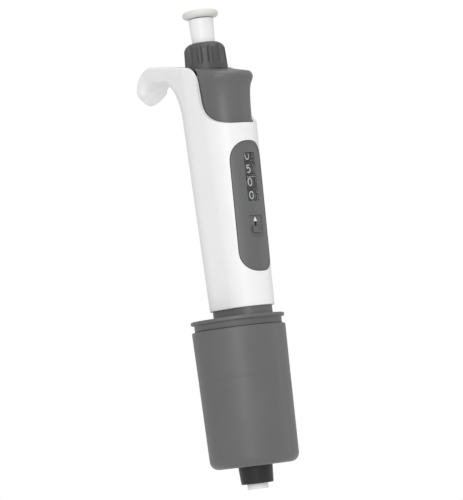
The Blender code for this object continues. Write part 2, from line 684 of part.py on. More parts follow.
def hook_flare():
    """The handle's back, drawn out rearwards by a quarter ellipse up to the underside of the hook. Each level
    is the hull of the back circle and a smaller one that touches the hook's sides."""
    sine, under = hook_taper(), hook_under_z()
    far_y = back_radius(HOOK_FLARE_Z) + HOOK_FLARE_OUT
    curve = arc((far_y, HOOK_FLARE_Z), (HOOK_FLARE_OUT, under - HOOK_FLARE_Z), 180, 90, 9)
    rings = []
    for y, z in [*curve, (far_y, under + CUT_PAST)]:
        radius = back_radius(z) - HOOK_FLARE_SINK
        out = max(0.0, (y - radius - HOOK_FLARE_SINK) / (1 - sine))
        rings.append([(u, v, z) for u, v in hull_of([(0, 0, radius), (0, out, radius - out * sine)])])
    return loft(rings)


def wall_piece(name, outside, inside, low, high, outline):
    """A piece of the handle's wall between two insets, inside an upright outline on the front."""
    outer, inner = [], []
    for z in (low, high):
        outer.append(handle_ring(z, outside))
        inner.append(handle_ring(z, inside))
    piece = place(name, loft(outer))
    cut(piece, loft([
        [(x, y, low - CUT_PAST) for x, y, z in inner[0]], *inner,
        [(x, y, high + CUT_PAST) for x, y, z in inner[1]],
    ]))
    keep_inside(piece, prism(outline, -CUT_REACH, -PANEL_BACK_Y, "y"))
    return piece


def upright_box(width, low, high):
    return [(-width / 2, low), (width / 2, low), (width / 2, high), (-width / 2, high)]


def display_panel():
    low, high = BEZEL_BOTTOM_Z + GAP, BEZEL_TOP_Z - GAP
    outline = panel_outline(BEZEL_HALF_WIDTH - GAP, low, high)
    bezel = wall_piece("display_bezel", 0.0, HANDLE_WALL, low - CUT_PAST, high + CUT_PAST, outline)
    window = (WINDOW_Z - WINDOW_HEIGHT / 2, WINDOW_Z + WINDOW_HEIGHT / 2)
    cut(bezel, prism(upright_box(WINDOW_WIDTH, *window), -CUT_REACH, -PANEL_BACK_Y, "y"))
    middle = (RECESS_BOTTOM_Z + RECESS_TOP_Z) / 2
    floor_y = -FRONT_OFFSET - front_radius(middle) + RECESS_DEPTH
    cut(bezel, prism(upright_box(RECESS_WIDTH, RECESS_BOTTOM_Z, RECESS_TOP_Z), -CUT_REACH, floor_y, "y"))
    slot = (lock_stem()[0] - GAP, lock_stem()[1] + LOCK_TRAVEL + GAP)
    cut(bezel, prism(upright_box(LOCK_SLOT_WIDTH, *slot), -CUT_REACH, -PANEL_BACK_Y, "y"))
    plastic(bezel)
    low, high = window[0] + GAP, window[1] - GAP
    outline = upright_box(WINDOW_WIDTH - 2 * GAP, low, high)
    lens = wall_piece(
        "window_lens", LENS_SET_BACK, HANDLE_WALL - LENS_SET_BACK, low - CUT_PAST, high + CUT_PAST, outline
    )
    painted(lens, (0.8, 0.85, 0.85), 0.05, alpha=0.3)


def lock_stem():
    """Lowest and highest point of the stem that carries the lock's grip."""
    middle = (LOCK_GRIP_Z[0] + LOCK_GRIP_Z[1]) / 2
    return middle - LOCK_STEM_HEIGHT / 2, middle + LOCK_STEM_HEIGHT / 2


def lock(parent):
    front_y = -FRONT_OFFSET - front_radius(LOCK_GRIP_Z[1]) - LOCK_GRIP_PROUD
    floor_y = -FRONT_OFFSET - front_radius((RECESS_BOTTOM_Z + RECESS_TOP_Z) / 2) + RECESS_DEPTH
    pad_y = -FRONT_OFFSET - front_radius(LOCK_PAD_Z[0]) + HANDLE_WALL + GAP
    half = LOCK_GRIP_WIDTH / 2
    grip = place("lock_slider", block((-half, half), (front_y, floor_y - GAP), LOCK_GRIP_Z), parent)
    stem = LOCK_SLOT_WIDTH / 2 - GAP
    join(grip, block((-stem, stem), (floor_y - 2 * GAP, pad_y - GAP), lock_stem()))
    plastic(grip)
    pad = place("lock_pad", block((-half, half), (pad_y, pad_y + LOCK_PAD_DEPTH), LOCK_PAD_Z), parent)
    painted(pad, BLACK, 0.8)


def inner_frame():
    """The plate that rests on the handle's ledge, and the guide tube under it."""
    radius = back_radius(LEDGE_Z) - HANDLE_WALL - GAP
    outline = hull_of([(0, 0, radius), (0, -PLATE_FRONT_Y, radius)], FINE)
    high = PLATE_BOTTOM_Z + PLATE_THICK
    frame = place("inner_frame", rod(TUBE_RADIUS, TUBE_BOTTOM_Z, PLATE_BOTTOM_Z + CUT_PAST, PLAIN))
    join(frame, prism(outline, PLATE_BOTTOM_Z, high))
    cut(frame, rod(TUBE_BORE, TUBE_BOTTOM_Z - CUT_PAST, high + CUT_PAST, PLAIN))
    cut(frame, rod(PUSH_ROD_RADIUS + GAP, PLATE_BOTTOM_Z - CUT_PAST, high + CUT_PAST, 12), (0, PUSH_ROD_Y))
    half = NUT_LUG_WIDTH / 2 + GAP
    low, high = NUT_LUG_Z - VOLUME_DOWN - GAP, NUT_LUG_Z + NUT_LUG_HEIGHT + VOLUME_UP + GAP
    cut(frame, block((-TUBE_RADIUS * 2, TUBE_RADIUS * 2), (-half, half), (low, high)))
    plastic(frame, (0.5, 0.5, 0.5))


def knob_bearing():
    """The ring that the knob's hub turns in, wedged against the handle's back wall."""
    middle = (BEARING_BOTTOM_Z + BEARING_TOP_Z) / 2
    back_y = back_radius(middle) - HANDLE_WALL - GAP - BEARING_RADIUS
    outline = hull_of([(0, 0, BEARING_RADIUS), (0, back_y, BEARING_RADIUS)], FINE)
    ring = ring_prism(outline, hull_of([(0, 0, HUB_RADIUS + GAP)], FINE), BEARING_BOTTOM_Z, BEARING_TOP_Z)
    plastic(place("knob_bearing", ring), (0.7, 0.7, 0.68))


def air_cylinder():
    """The cylinder, its cap with the guide bush, and the seal between them."""
    radius = BORE_RADIUS + BARREL_WALL
    floor_z = BARREL_BOTTOM_Z + BARREL_FLOOR
    barrel = place("chamber_barrel", turned([
        (NOZZLE_BORE, BARREL_BOTTOM_Z), (radius - BARREL_CHAMFER, BARREL_BOTTOM_Z),
        (radius, BARREL_BOTTOM_Z + BARREL_CHAMFER), (radius, BARREL_TOP_Z),
        (BORE_RADIUS, BARREL_TOP_Z), (BORE_RADIUS, floor_z), (NOZZLE_BORE, floor_z),
    ], FINE))
    for at in screw_places():
        hole = rod(NOZZLE_SCREW_RADIUS + GAP, BARREL_BOTTOM_Z - CUT_PAST, nozzle_screw_top() + GAP, 8)
        cut(barrel, hole, at)
    plastic(barrel, (0.6, 0.6, 0.6))

    low = BARREL_TOP_Z + GAP
    spigot = BORE_RADIUS - GAP
    spigot_z = low - CHAMBER_SPIGOT
    groove_z = (spigot_z + CHAMBER_SPIGOT * 0.3, spigot_z + CHAMBER_SPIGOT * 0.3 + GASKET_THICK + 2 * GAP)
    groove = spigot - GASKET_WIDTH - GAP
    bush_hole = BUSH_RADIUS + GAP
    cap_top = low + CHAMBER_CAP_THICK
    cap = place("chamber_cap", turned([
        (bush_hole, spigot_z), (spigot, spigot_z), (spigot, groove_z[0]), (groove, groove_z[0]),
        (groove, groove_z[1]), (spigot, groove_z[1]), (spigot, low), (radius, low), (radius, cap_top),
        (CHAMBER_BOSS_RADIUS, cap_top), (CHAMBER_BOSS_RADIUS, CHAMBER_BOSS_TOP_Z),
        (bush_hole, CHAMBER_BOSS_TOP_Z),
    ], FINE))
    plastic(cap, (0.6, 0.6, 0.6))
    gasket = tube(groove + GAP, spigot, groove_z[0] + GAP, groove_z[1] - GAP, FINE)
    painted(place("cap_gasket", gasket), BLACK, 0.7)
    bush = tube(ROD_RADIUS + GAP, BUSH_RADIUS, spigot_z, CHAMBER_BOSS_TOP_Z)
    painted(place("rod_bush", bush), (0.6, 0.45, 0.2), 0.35, 1.0)


def nozzle_top():
    return BARREL_BOTTOM_Z - GAP


def nozzle_screw_top():
    return nozzle_top() + NOZZLE_SCREW_GRIP


def screw_places():
    """The screws stand just clear of the cone, each in the middle of a facet of the nozzle's flange."""
    circle_radius = CONE_ROOT_RADIUS + GAP + NOZZLE_SCREW_HEAD
    turns = [math.tau * (i / NOZZLE_SCREWS + 0.5 / FINE) for i in range(NOZZLE_SCREWS)]
    return [(circle_radius * math.sin(turn), circle_radius * math.cos(turn)) for turn in turns]


def nozzle():
    """The tip cone with its filter, seal and screws."""
    high = nozzle_top()
    low = high - NOZZLE_FLANGE_THICK
    pocket_z = FILTER_LENGTH + GAP
    pocket = FILTER_RADIUS + GAP
    seal = (NOZZLE_GASKET_RADIUS, NOZZLE_GASKET_RADIUS + NOZZLE_GASKET_WIDTH)
    seal_z = high - GASKET_THICK
    cone = place("nozzle_cone", turned([
        (pocket, CONE_TIP_Z), (CONE_TIP_RADIUS - CONE_TIP_FILLET, CONE_TIP_Z),
        (CONE_TIP_RADIUS, CONE_TIP_Z + CONE_TIP_FILLET), (CONE_ROOT_RADIUS, CONE_ROOT_Z),
        (CONE_ROOT_RADIUS, low), (NOZZLE_FLANGE_RADIUS, low), (NOZZLE_FLANGE_RADIUS, high),
        (seal[1] + GAP, high), (seal[1] + GAP, seal_z), (seal[0] - GAP, seal_z), (seal[0] - GAP, high),
        (NOZZLE_BORE, high), (NOZZLE_BORE, pocket_z), (pocket, pocket_z),
    ], FINE))
    for at in screw_places():
        cut(cone, rod(NOZZLE_SCREW_RADIUS + GAP, low - CUT_PAST, high + CUT_PAST, 8), at)
    painted(cone, BLACK, 0.4)
    edge = FILTER_RADIUS - FILTER_EDGE
    plug = turned([
        (0, 0), (edge, 0), (FILTER_RADIUS, FILTER_EDGE), (FILTER_RADIUS, FILTER_LENGTH), (0, FILTER_LENGTH)
    ])
    painted(place("nozzle_filter", plug), (0.85, 0.85, 0.85), 0.8)
    painted(place("nozzle_gasket", tube(*seal, seal_z + GAP, high)), BLACK, 0.7)
    for number, at in enumerate(screw_places(), 1):
        head_z = low - GAP
        profile = [
            (0, head_z - NOZZLE_SCREW_HEAD * 0.8), (NOZZLE_SCREW_HEAD, head_z - NOZZLE_SCREW_HEAD * 0.8),
            (NOZZLE_SCREW_HEAD, head_z), (NOZZLE_SCREW_RADIUS, head_z),
            (NOZZLE_SCREW_RADIUS, nozzle_screw_top()), (0, nozzle_screw_top()),
        ]
        metal(place(f"nozzle_screw_{number}", turned(profile, 10), at=at))


def plunger(parent):
    """Everything that goes down when the button is pressed."""
    rim = CAP_RIM_RADIUS
    socket = (SPIGOT_RADIUS + GAP, CAP_BOTTOM_Z + SPIGOT_LENGTH)
    profile = [(0, socket[1]), socket, (socket[0], CAP_BOTTOM_Z)]
    profile += arc((CAP_RADIUS - rim, CAP_BOTTOM_Z + rim), (rim, rim), -90, 90, 6)
    profile.append((0, CAP_TOP_Z))
    painted(place("push_button", turned(profile, FINE), parent), (0.75, 0.76, 0.73), 0.4)

    bore = ROD_RADIUS + GAP
    top = CAP_BOTTOM_Z - GAP
    painted(place("button_stem", turned([
        (0, ROD_TOP_Z + GAP), (bore, ROD_TOP_Z + GAP), (bore, STEM_BOTTOM_Z), (STEM_RADIUS, STEM_BOTTOM_Z),
        (STEM_RADIUS, KNOB_TOP_Z), (STEM_TOP_RADIUS, top), (SPIGOT_RADIUS, top),
        (SPIGOT_RADIUS, socket[1] - GAP), (0, socket[1] - GAP),
    ], 24), parent), WHITE, 0.3)

    metal(place("plunger_rod", rod(ROD_RADIUS, ROD_SPLIT_Z + GAP / 2, ROD_TOP_Z, 14), parent))
    high = NUT_BOTTOM_Z - GAP
    collar = turned([
        (bore, COLLAR_SKIRT_Z), (COLLAR_SKIRT_RADIUS, COLLAR_SKIRT_Z),
        (COLLAR_SKIRT_RADIUS, high - COLLAR_THICK), (COLLAR_RADIUS, high - COLLAR_THICK),
        (COLLAR_RADIUS, high), (bore, high),
    ])
    metal(place("stop_collar", collar, parent))

    hole = SCREW_RADIUS + GAP
    head_z = PISTON_BOTTOM_Z + SCREW_HEAD_SINK
    screw_top = head_z + SCREW_HEAD_THICK + SCREW_LENGTH
    metal(place("piston_rod", turned([
        (0, screw_top + GAP), (hole, screw_top + GAP), (hole, PISTON_SEAT_Z), (ROD_RADIUS, PISTON_SEAT_Z),
        (ROD_RADIUS, ROD_SPLIT_Z - GAP / 2), (0, ROD_SPLIT_Z - GAP / 2),
    ], 14), parent))
    groove = (SEAL_Z - GAP, SEAL_Z + SEAL_THICK + GAP)
    groove_radius = SEAL_RADIUS - SEAL_DEPTH - GAP
    top = PISTON_BOTTOM_Z + PISTON_HEIGHT
    sunk = head_z + SCREW_HEAD_THICK + GAP
    piston = turned([
        (SCREW_HEAD_RADIUS + GAP, PISTON_BOTTOM_Z), (PISTON_RADIUS, PISTON_BOTTOM_Z),
        (PISTON_RADIUS, groove[0]), (groove_radius, groove[0]), (groove_radius, groove[1]),
        (PISTON_RADIUS, groove[1]), (PISTON_RADIUS, top), (bore, top), (bore, PISTON_SEAT_Z - GAP),
        (hole, PISTON_SEAT_Z - GAP), (hole, sunk), (SCREW_HEAD_RADIUS + GAP, sunk),
    ], FINE)
    plastic(place("piston_head", piston, parent), (0.75, 0.75, 0.72))
    seal = tube(groove_radius + GAP, SEAL_RADIUS, SEAL_Z, SEAL_Z + SEAL_THICK, FINE)
    painted(place("piston_seal", seal, parent), BLACK, 0.6)
    metal(place("piston_screw", turned([
        (0, head_z), (SCREW_HEAD_RADIUS, head_z), (SCREW_HEAD_RADIUS, sunk - GAP),
        (SCREW_RADIUS, sunk - GAP), (SCREW_RADIUS, screw_top), (0, screw_top),
    ], 12), parent))


def stop_nut(parent):
    """The nut on the spindle whose lower face stops the plunger on its way up."""
    profile = [(0, NUT_BOTTOM_Z), (NUT_RADIUS, NUT_BOTTOM_Z), (NUT_RADIUS, NUT_TOP_Z), (0, NUT_TOP_Z)]
    nut = place("stop_nut", turned(profile), parent)
    reach, half = TUBE_RADIUS - GAP, NUT_LUG_WIDTH / 2
    join(nut, block((-reach, reach), (-half, half), (NUT_LUG_Z, NUT_LUG_Z + NUT_LUG_HEIGHT)))
    floor_z = NUT_BOTTOM_Z + NUT_FLOOR
    thread = SPINDLE_RADIUS + GAP
    cut(nut, turned([
        (0, NUT_BOTTOM_Z - CUT_PAST), (ROD_RADIUS + GAP, NUT_BOTTOM_Z - CUT_PAST),
        (ROD_RADIUS + GAP, floor_z), (NUT_CUP_RADIUS, floor_z),
        (NUT_CUP_RADIUS, NUT_THREAD_Z), (thread, NUT_THREAD_Z),
        (thread, NUT_TOP_Z + CUT_PAST), (0, NUT_TOP_Z + CUT_PAST),
    ]))
    plastic(nut, (0.75, 0.75, 0.72))


def knob(parent):
    """The fluted knob with its hub, the hollow spindle, its gear and its clip."""
    bore = STEM_TOP_RADIUS + STEM_CLEARANCE
    clip_top = BEARING_BOTTOM_Z - GAP
    clip_low = clip_top - CLIP_THICK
    groove = HUB_RADIUS - CLIP_GROOVE_DEPTH
    seat_top = HUB_BOTTOM_Z + SPINDLE_SEAT
    shoulder_r = KNOB_RADIUS_HIGH - bore
    profile = [
        (SPINDLE_RADIUS + GAP, HUB_BOTTOM_Z), (HUB_RADIUS, HUB_BOTTOM_Z), (HUB_RADIUS, clip_low - GAP),
        (groove, clip_low - GAP), (groove, BEARING_BOTTOM_Z), (HUB_RADIUS, BEARING_BOTTOM_Z),
        (HUB_RADIUS, KNOB_BOTTOM_Z), (KNOB_RADIUS_LOW, KNOB_BOTTOM_Z),
    ]
    profile += arc((bore, KNOB_TOP_Z - shoulder_r), (shoulder_r, shoulder_r), 0, 80, 5)
    profile += [
        (bore, KNOB_TOP_Z), (bore, HUB_FLOOR_Z), (ROD_RADIUS + GAP, HUB_FLOOR_Z),
        (ROD_RADIUS + GAP, seat_top), (SPINDLE_RADIUS + GAP, seat_top),
    ]
    fluted = place("volume_knob", swung(turned(profile, 2 * FLUTES), FLUTE_TURN), parent)
    cut(fluted, swung(flutes(), FLUTE_TURN))
    plastic(fluted)
    spindle = tube(ROD_RADIUS + GAP, SPINDLE_RADIUS, SPINDLE_BOTTOM_Z, seat_top - GAP)
    metal(place("adjusting_spindle", spindle, parent))
    outline = gear_outline(GEAR_TEETH, COUNTER_Y / GEAR_TEETH, -90)
    drive = gear("drive_gear", outline, SPINDLE_RADIUS + GAP, gear_span(), parent, (0, 0))
    plastic(drive, (0.75, 0.75, 0.72))
    metal(place("spindle_clip", tube(groove + GAP, CLIP_RADIUS, clip_low, clip_top, 24), parent))


def flutes():
    """Round-ended grooves up the knob, as one mesh of separate cutters."""
    bm = bmesh.new()
    reach = KNOB_RADIUS_HIGH + FLUTE_RADIUS - FLUTE_DEPTH
    end = arc((0, FLUTE_BOTTOM_Z + FLUTE_RADIUS), (FLUTE_RADIUS, FLUTE_RADIUS), -90, 0, 2)
    profile = [*end, (FLUTE_RADIUS, KNOB_TOP_Z + CUT_PAST), (0, KNOB_TOP_Z + CUT_PAST)]
    profile[0] = (0, FLUTE_BOTTOM_Z)
    single = turned(profile, 8)
    mesh = bpy.data.meshes.new("flute")
    single.to_mesh(mesh)
    single.free()
    for i in range(FLUTES):
        turn = Matrix.Rotation(math.tau * (i + 0.5) / FLUTES, 4, "Z") @ Matrix.Translation((reach, 0, 0))
        before = len(bm.verts)
        bm.from_mesh(mesh)
        bm.verts.ensure_lookup_table()
        bmesh.ops.transform(bm, matrix=turn, verts=bm.verts[before:])
    bpy.data.meshes.remove(mesh)
    return bm


def gear_outline(teeth, module, centre_deg):
    """Trapezoid teeth, thinned for running clearance, with a tooth centred on the given direction."""
    pitch_radius = module * teeth / 2
    radii = (pitch_radius - TOOTH_ROOT * module, pitch_radius + TOOTH_TIP * module)
    step = math.tau / teeth
    outline = []
    for i in range(teeth):
        middle = math.radians(centre_deg) + step * i
        for radius, share in ((radii[0], -TOOTH_ROOT_SHARE), (radii[1], -TOOTH_TIP_SHARE),
                              (radii[1], TOOTH_TIP_SHARE), (radii[0], TOOTH_ROOT_SHARE)):
            turn = middle + share * step
            outline.append((radius * math.cos(turn), radius * math.sin(turn)))
    return outline


def gear(name, outline, bore, span, parent, at):
    """A toothed ring from span[0] to span[1], with a round bore."""
    obj = place(name, prism(outline, *span), parent, at)
    cut(obj, rod(bore, span[0] - CUT_PAST, span[1] + CUT_PAST, 12), at)
    return obj


def drum_low(number):
    """Underside of a drum, counted from the lowest one, 0."""
    return WINDOW_Z + (number - 2) * DRUM_PITCH + GAP / 2


def gear_span():
    return GEAR_BOTTOM_Z, GEAR_BOTTOM_Z + GEAR_THICK


def counter_drive(parent):
    """The counter's shaft with the pieces fixed on it."""
    at = (0, -COUNTER_Y)
    low, high = FRAME_LOW_Z - GAP, frame_top() + GAP
    metal(place("counter_shaft", rod(SHAFT_RADIUS, low, high, 12), parent, at))
    outline = gear_outline(GEAR_TEETH, COUNTER_Y / GEAR_TEETH, 90 + 180 / GEAR_TEETH)
    driven = gear("counter_gear", outline, SHAFT_RADIUS + GAP, gear_span(), parent, at)
    plastic(driven, (0.75, 0.75, 0.72))
    drum = tube(SHAFT_RADIUS + GAP, DRUM_RADIUS, drum_low(0), drum_low(1) - GAP, FINE)
    painted(place("drum_hundredths", drum, parent, at), BLACK, 0.4)
    wheel = tube(SHAFT_RADIUS + GAP, DRUM_RADIUS, WHEEL_BOTTOM_Z, WHEEL_BOTTOM_Z + WHEEL_THICK)
    plastic(place("lock_wheel", wheel, parent, at), (0.75, 0.75, 0.72))


def pinion_place():
    reach = CARRY_MODULE * (DRUM_RING_TEETH + PINION_TEETH) / 2
    return reach * math.sin(PINION_TURN), -COUNTER_Y + reach * math.cos(PINION_TURN)


def counter_drum(name, number, drum_parent, pinion_parent):
    """A number drum with its tooth ring, and the pinion that carries it on."""
    towards = math.degrees(math.pi / 2 - PINION_TURN)
    low = drum_low(number)
    high = drum_low(number + 1) - GAP
    ring_top = low + DRUM_RING_THICK
    at = (0, -COUNTER_Y)
    outline = gear_outline(DRUM_RING_TEETH, CARRY_MODULE, towards)
    drum = place("drum_" + name, prism(outline, low, ring_top + GAP), drum_parent, at)
    join(drum, rod(DRUM_RADIUS, ring_top, high, FINE), at)
    cut(drum, rod(SHAFT_RADIUS + GAP, low - CUT_PAST, high + CUT_PAST, 12), at)
    painted(drum, BLACK, 0.4)
    outline = gear_outline(PINION_TEETH, CARRY_MODULE, 180 + towards + 180 / PINION_TEETH)
    span = (low + GAP, ring_top - GAP)
    bore = PINION_SHAFT_RADIUS + GAP
    pinion = gear("carry_pinion_" + name, outline, bore, span, pinion_parent, pinion_place())
    plastic(pinion, (0.75, 0.75, 0.72))


def frame_top():
    return GEAR_BOTTOM_Z + GEAR_THICK + GAP + FRAME_PLATE


def counter_frame():
    """Two plates that hold the counter's shafts, on a spine and a leg that stand on the inner frame."""
    pinion = pinion_place()
    spine_x = FRAME_SPINE_X + FRAME_SPINE_THICK / 2
    outline = hull_of([
        (0, -COUNTER_Y, FRAME_FRONT), (0, 0, FRAME_BACK), (*pinion, FRAME_EDGE),
        (-spine_x, -FRONT_OFFSET, FRAME_SPINE_THICK / 2),
    ], 24)
    frame = place("counter_frame", prism(outline, FRAME_LOW_Z, FRAME_LOW_Z + FRAME_PLATE))
    join(frame, prism(outline, frame_top() - FRAME_PLATE, frame_top()))
    foot = PLATE_BOTTOM_Z + PLATE_THICK + GAP
    half = FRAME_SPINE_WIDTH / 2
    spine = (-FRAME_SPINE_X - FRAME_SPINE_THICK, -FRAME_SPINE_X)
    join(frame, block(spine, (-FRONT_OFFSET - half, -FRONT_OFFSET + half), (foot, frame_top())))
    half = FRAME_LEG_WIDTH / 2
    join(frame, block((-half, half), (FRAME_BACK - FRAME_SPINE_THICK, FRAME_BACK), (foot, FRAME_LOW_Z + GAP)))
    low, high = FRAME_LOW_Z - CUT_PAST, frame_top() + CUT_PAST
    cut(frame, rod(SHAFT_RADIUS + GAP, low, high, 12), (0, -COUNTER_Y))
    cut(frame, rod(SPINDLE_RADIUS + GAP, low, high, PLAIN))
    cut(frame, rod(PINION_SHAFT_RADIUS + GAP, low, high, 12), pinion)
    plastic(frame, (0.5, 0.5, 0.5))
    shaft = rod(PINION_SHAFT_RADIUS, FRAME_LOW_Z - GAP, frame_top() + GAP, 10)
    metal(place("pinion_shaft", shaft, at=pinion))


def button_ring(z, flare, wall=0.0):
    """A ring of the ejector button's side, flared only towards the front."""
    plain = handle_section(z, BUTTON_INSET + wall)
    wide = handle_section(z, BUTTON_INSET + wall - flare)
    ring = []
    for (x, y), (u, v) in zip(plain, wide):
        share = min(1.0, max(0.0, (-y - FRONT_OFFSET) / FLARE_RUN))
        share = share * share * (3 - 2 * share)
        ring.append((x + share * (u - x), y + share * (v - y), z))
    return ring


def button_solid(wall=0.0, drop=0.0, low=BUTTON_BOTTOM_Z):
    """The button's skin: flared sides, a rounded rim and the domed thumb surface."""
    flares = [(low, 0.0), (LIP_Z - 0.0085, LIP_FLARE * 0.15), (LIP_Z - 0.0048, LIP_FLARE * 0.35),
              (LIP_Z - 0.0017, LIP_FLARE * 0.75), (LIP_Z, LIP_FLARE)]
    rings = [button_ring(z, 0.0 if wall else flare, wall) for z, flare in flares[:3 if wall else 5]]
    for inset, fall in ((0.0003, 0.0010), (0.0014, 0.0)):
        edge = button_ring(LIP_Z, 0.0 if wall else LIP_FLARE, wall + inset)
        rings.append([(x, y, button_top(x, y) - fall - drop) for x, y, z in edge])
    edge = rings[-1]
    for share in (0.7, 0.4, 0.12):
        inner = [(x * share, MIDDLE_Y + (y - MIDDLE_Y) * share) for x, y, z in edge]
        rings.append([(x, y, button_top(x, y) - drop) for x, y in inner])
    return loft(rings)


def ejector(parent):
    """The thumb button, the yoke and rod behind it, and the collar and sleeve that push the tip off."""
    button = place("ejector_button", button_solid(), parent)
    cut(button, button_solid(BUTTON_WALL, BUTTON_TOP_THICK, BUTTON_BOTTOM_Z - CUT_PAST))
    ledge = TOP_PLANE_Z - TOP_WEB - EJECTOR_SIDE_DROP
    radius = SHOULDER_RADIUS + GAP
    centre_z = TOP_PLANE_Z - SHOULDER_DROP
    start = 180 - math.degrees(math.asin((ledge - centre_z) / radius))
    kept = [(-CUT_REACH, 0), (BUTTON_BACK_Y, 0), (BUTTON_BACK_Y, ledge)]
    kept += shoulder(GAP, start, 100, 5)
    kept += [(kept[-1][0], CUT_REACH * 3), (-CUT_REACH, CUT_REACH * 3)]
    keep_inside(button, prism(kept, -CUT_REACH, CUT_REACH, "x"))
    cut(button, rod(BEARING_RADIUS + 2 * GAP, BUTTON_BOTTOM_Z - CUT_PAST, BUTTON_TOP_Z + CUT_PAST, FINE))
    cut(button, rod(KNOB_RADIUS_LOW + GAP, KNOB_BOTTOM_Z - CUT_PAST, BUTTON_TOP_Z + CUT_PAST, OUTSIDE))
    plastic(button)

    radius = front_radius(YOKE_BOTTOM_Z) - BUTTON_INSET - BUTTON_WALL - YOKE_ROOM
    outline = hull_of([(0, YOKE_BACK_Y, YOKE_BACK_RADIUS), (0, -FRONT_OFFSET, radius)], FINE)
    yoke = place("ejector_yoke", prism(outline, YOKE_BOTTOM_Z, YOKE_BOTTOM_Z + YOKE_THICK), parent)
    low, high = YOKE_BOTTOM_Z - CUT_PAST, YOKE_BOTTOM_Z + YOKE_THICK + CUT_PAST
    cut(yoke, rod(SPINDLE_RADIUS + 2 * GAP, low, high, PLAIN))
    cut(yoke, rod(PUSH_ROD_RADIUS + GAP, low, high, 12), (0, PUSH_ROD_Y))
    plastic(yoke, (0.5, 0.5, 0.5))

    at = (0, PUSH_ROD_Y)
    rod_top = YOKE_BOTTOM_Z + YOKE_THICK
    metal(place("ejector_rod", rod(PUSH_ROD_RADIUS, PUSH_ROD_BOTTOM_Z, rod_top, 12), parent, at))
    clip_top = SPRING_CLIP_Z + SPRING_CLIP_THICK
    clip = tube(PUSH_ROD_RADIUS + GAP, SPRING_CLIP_RADIUS, SPRING_CLIP_Z, clip_top, 14)
    metal(place("spring_clip", clip, parent, at))
    ejector_collar(parent)

    corner_z = SLEEVE_BOTTOM_Z + SLEEVE_CORNER
    corner_r = SLEEVE_LOW_RADIUS - SLEEVE_CORNER
    inner = SLEEVE_CORNER - SLEEVE_WALL
    floor_z = SLEEVE_BOTTOM_Z + SLEEVE_FLOOR
    profile = [(SLEEVE_TOP_RADIUS, SLEEVE_TOP_Z)]
    profile += arc((corner_r, corner_z), (SLEEVE_CORNER, SLEEVE_CORNER), 0, -90, 4)
    profile += [(SLEEVE_HOLE, SLEEVE_BOTTOM_Z), (SLEEVE_HOLE, floor_z)]
    profile += arc((corner_r, floor_z + inner), (inner, inner), -90, 0, 2)
    profile.append((SLEEVE_TOP_RADIUS - SLEEVE_WALL, SLEEVE_TOP_Z))
    plastic(place("ejector_sleeve", turned(profile, OUTSIDE), parent))


def ejector_collar(parent):
    """The flange over the sleeve, with the neck that slides up inside the handle's skirt."""
    plug = SLEEVE_TOP_RADIUS - SLEEVE_WALL - GAP
    low = SLEEVE_TOP_Z + GAP
    collar = place("ejector_collar", turned([
        (0, low), (plug - COLLAR_PLUG_THICK, low), (plug - COLLAR_PLUG_THICK, COLLAR_PLUG_Z),
        (plug, COLLAR_PLUG_Z), (plug, low), (GROOVE_RADIUS, low), (GROOVE_RADIUS, FLANGE_BOTTOM_Z),
        (FLANGE_RADIUS, FLANGE_BOTTOM_Z), (FLANGE_RADIUS, FLANGE_EDGE_Z), (0, FLANGE_TOP_Z),
    ], OUTSIDE), parent)
    outer = handle_section(HANDLE_BOTTOM_Z, NECK_INSET)
    inner = handle_section(HANDLE_BOTTOM_Z, NECK_INSET + NECK_WALL)
    join(collar, prism(outer, FLANGE_BOTTOM_Z, NECK_TOP_Z))
    cut(collar, prism(inner, low - CUT_PAST, NECK_TOP_Z + CUT_PAST))
    at = (0, PUSH_ROD_Y)
    join(collar, rod(ROD_BOSS_RADIUS, low, ROD_BOSS_TOP_Z, 14), at)
    cut(collar, rod(TUBE_RADIUS + GAP, low - CUT_PAST, NECK_TOP_Z + CUT_PAST, PLAIN))
    cut(collar, rod(PUSH_ROD_RADIUS + GAP, PUSH_ROD_BOTTOM_Z - GAP, NECK_TOP_Z, 12), at)
    plastic(collar)


def spring(name, radius, wire, low, high, turns, at=(0.0, 0.0)):
    """A coil of round wire from low to high, as a curve with a round bevel."""
    steps = turns * SPRING_STEPS
    curve = bpy.data.curves.new(name, "CURVE")
    curve.dimensions = "3D"
    curve.bevel_depth = wire
    curve.bevel_resolution = 0
    curve.use_fill_caps = True
    line = curve.splines.new("POLY")
    line.points.add(steps)
    for i, point in enumerate(line.points):
        turn = math.tau * turns * i / steps
        z = low + wire + (high - low - 2 * wire) * i / steps
        point.co = (radius * math.cos(turn), radius * math.sin(turn), z, 1.0)
    obj = bpy.data.objects.new(name, curve)
    bpy.context.scene.collection.objects.link(obj)
    obj.location = (*at, 0.0)
    metal(obj)


def springs():
    seat = CHAMBER_BOSS_TOP_Z + GAP
    collar = NUT_BOTTOM_Z - GAP - COLLAR_THICK
    spring("main_spring", MAIN_SPRING_RADIUS, MAIN_SPRING_WIRE, seat, collar - GAP, 6)
    first_stop = COLLAR_SKIRT_Z - VOLUME_UP
    spring("blowout_spring", BLOWOUT_SPRING_RADIUS, BLOWOUT_SPRING_WIRE, seat, first_stop, 4)
    seat = PLATE_BOTTOM_Z + PLATE_THICK + GAP
    at = (0, PUSH_ROD_Y)
    spring("ejector_spring", EJECT_SPRING_RADIUS, EJECT_SPRING_WIRE, seat, SPRING_CLIP_Z - GAP, 6, at)


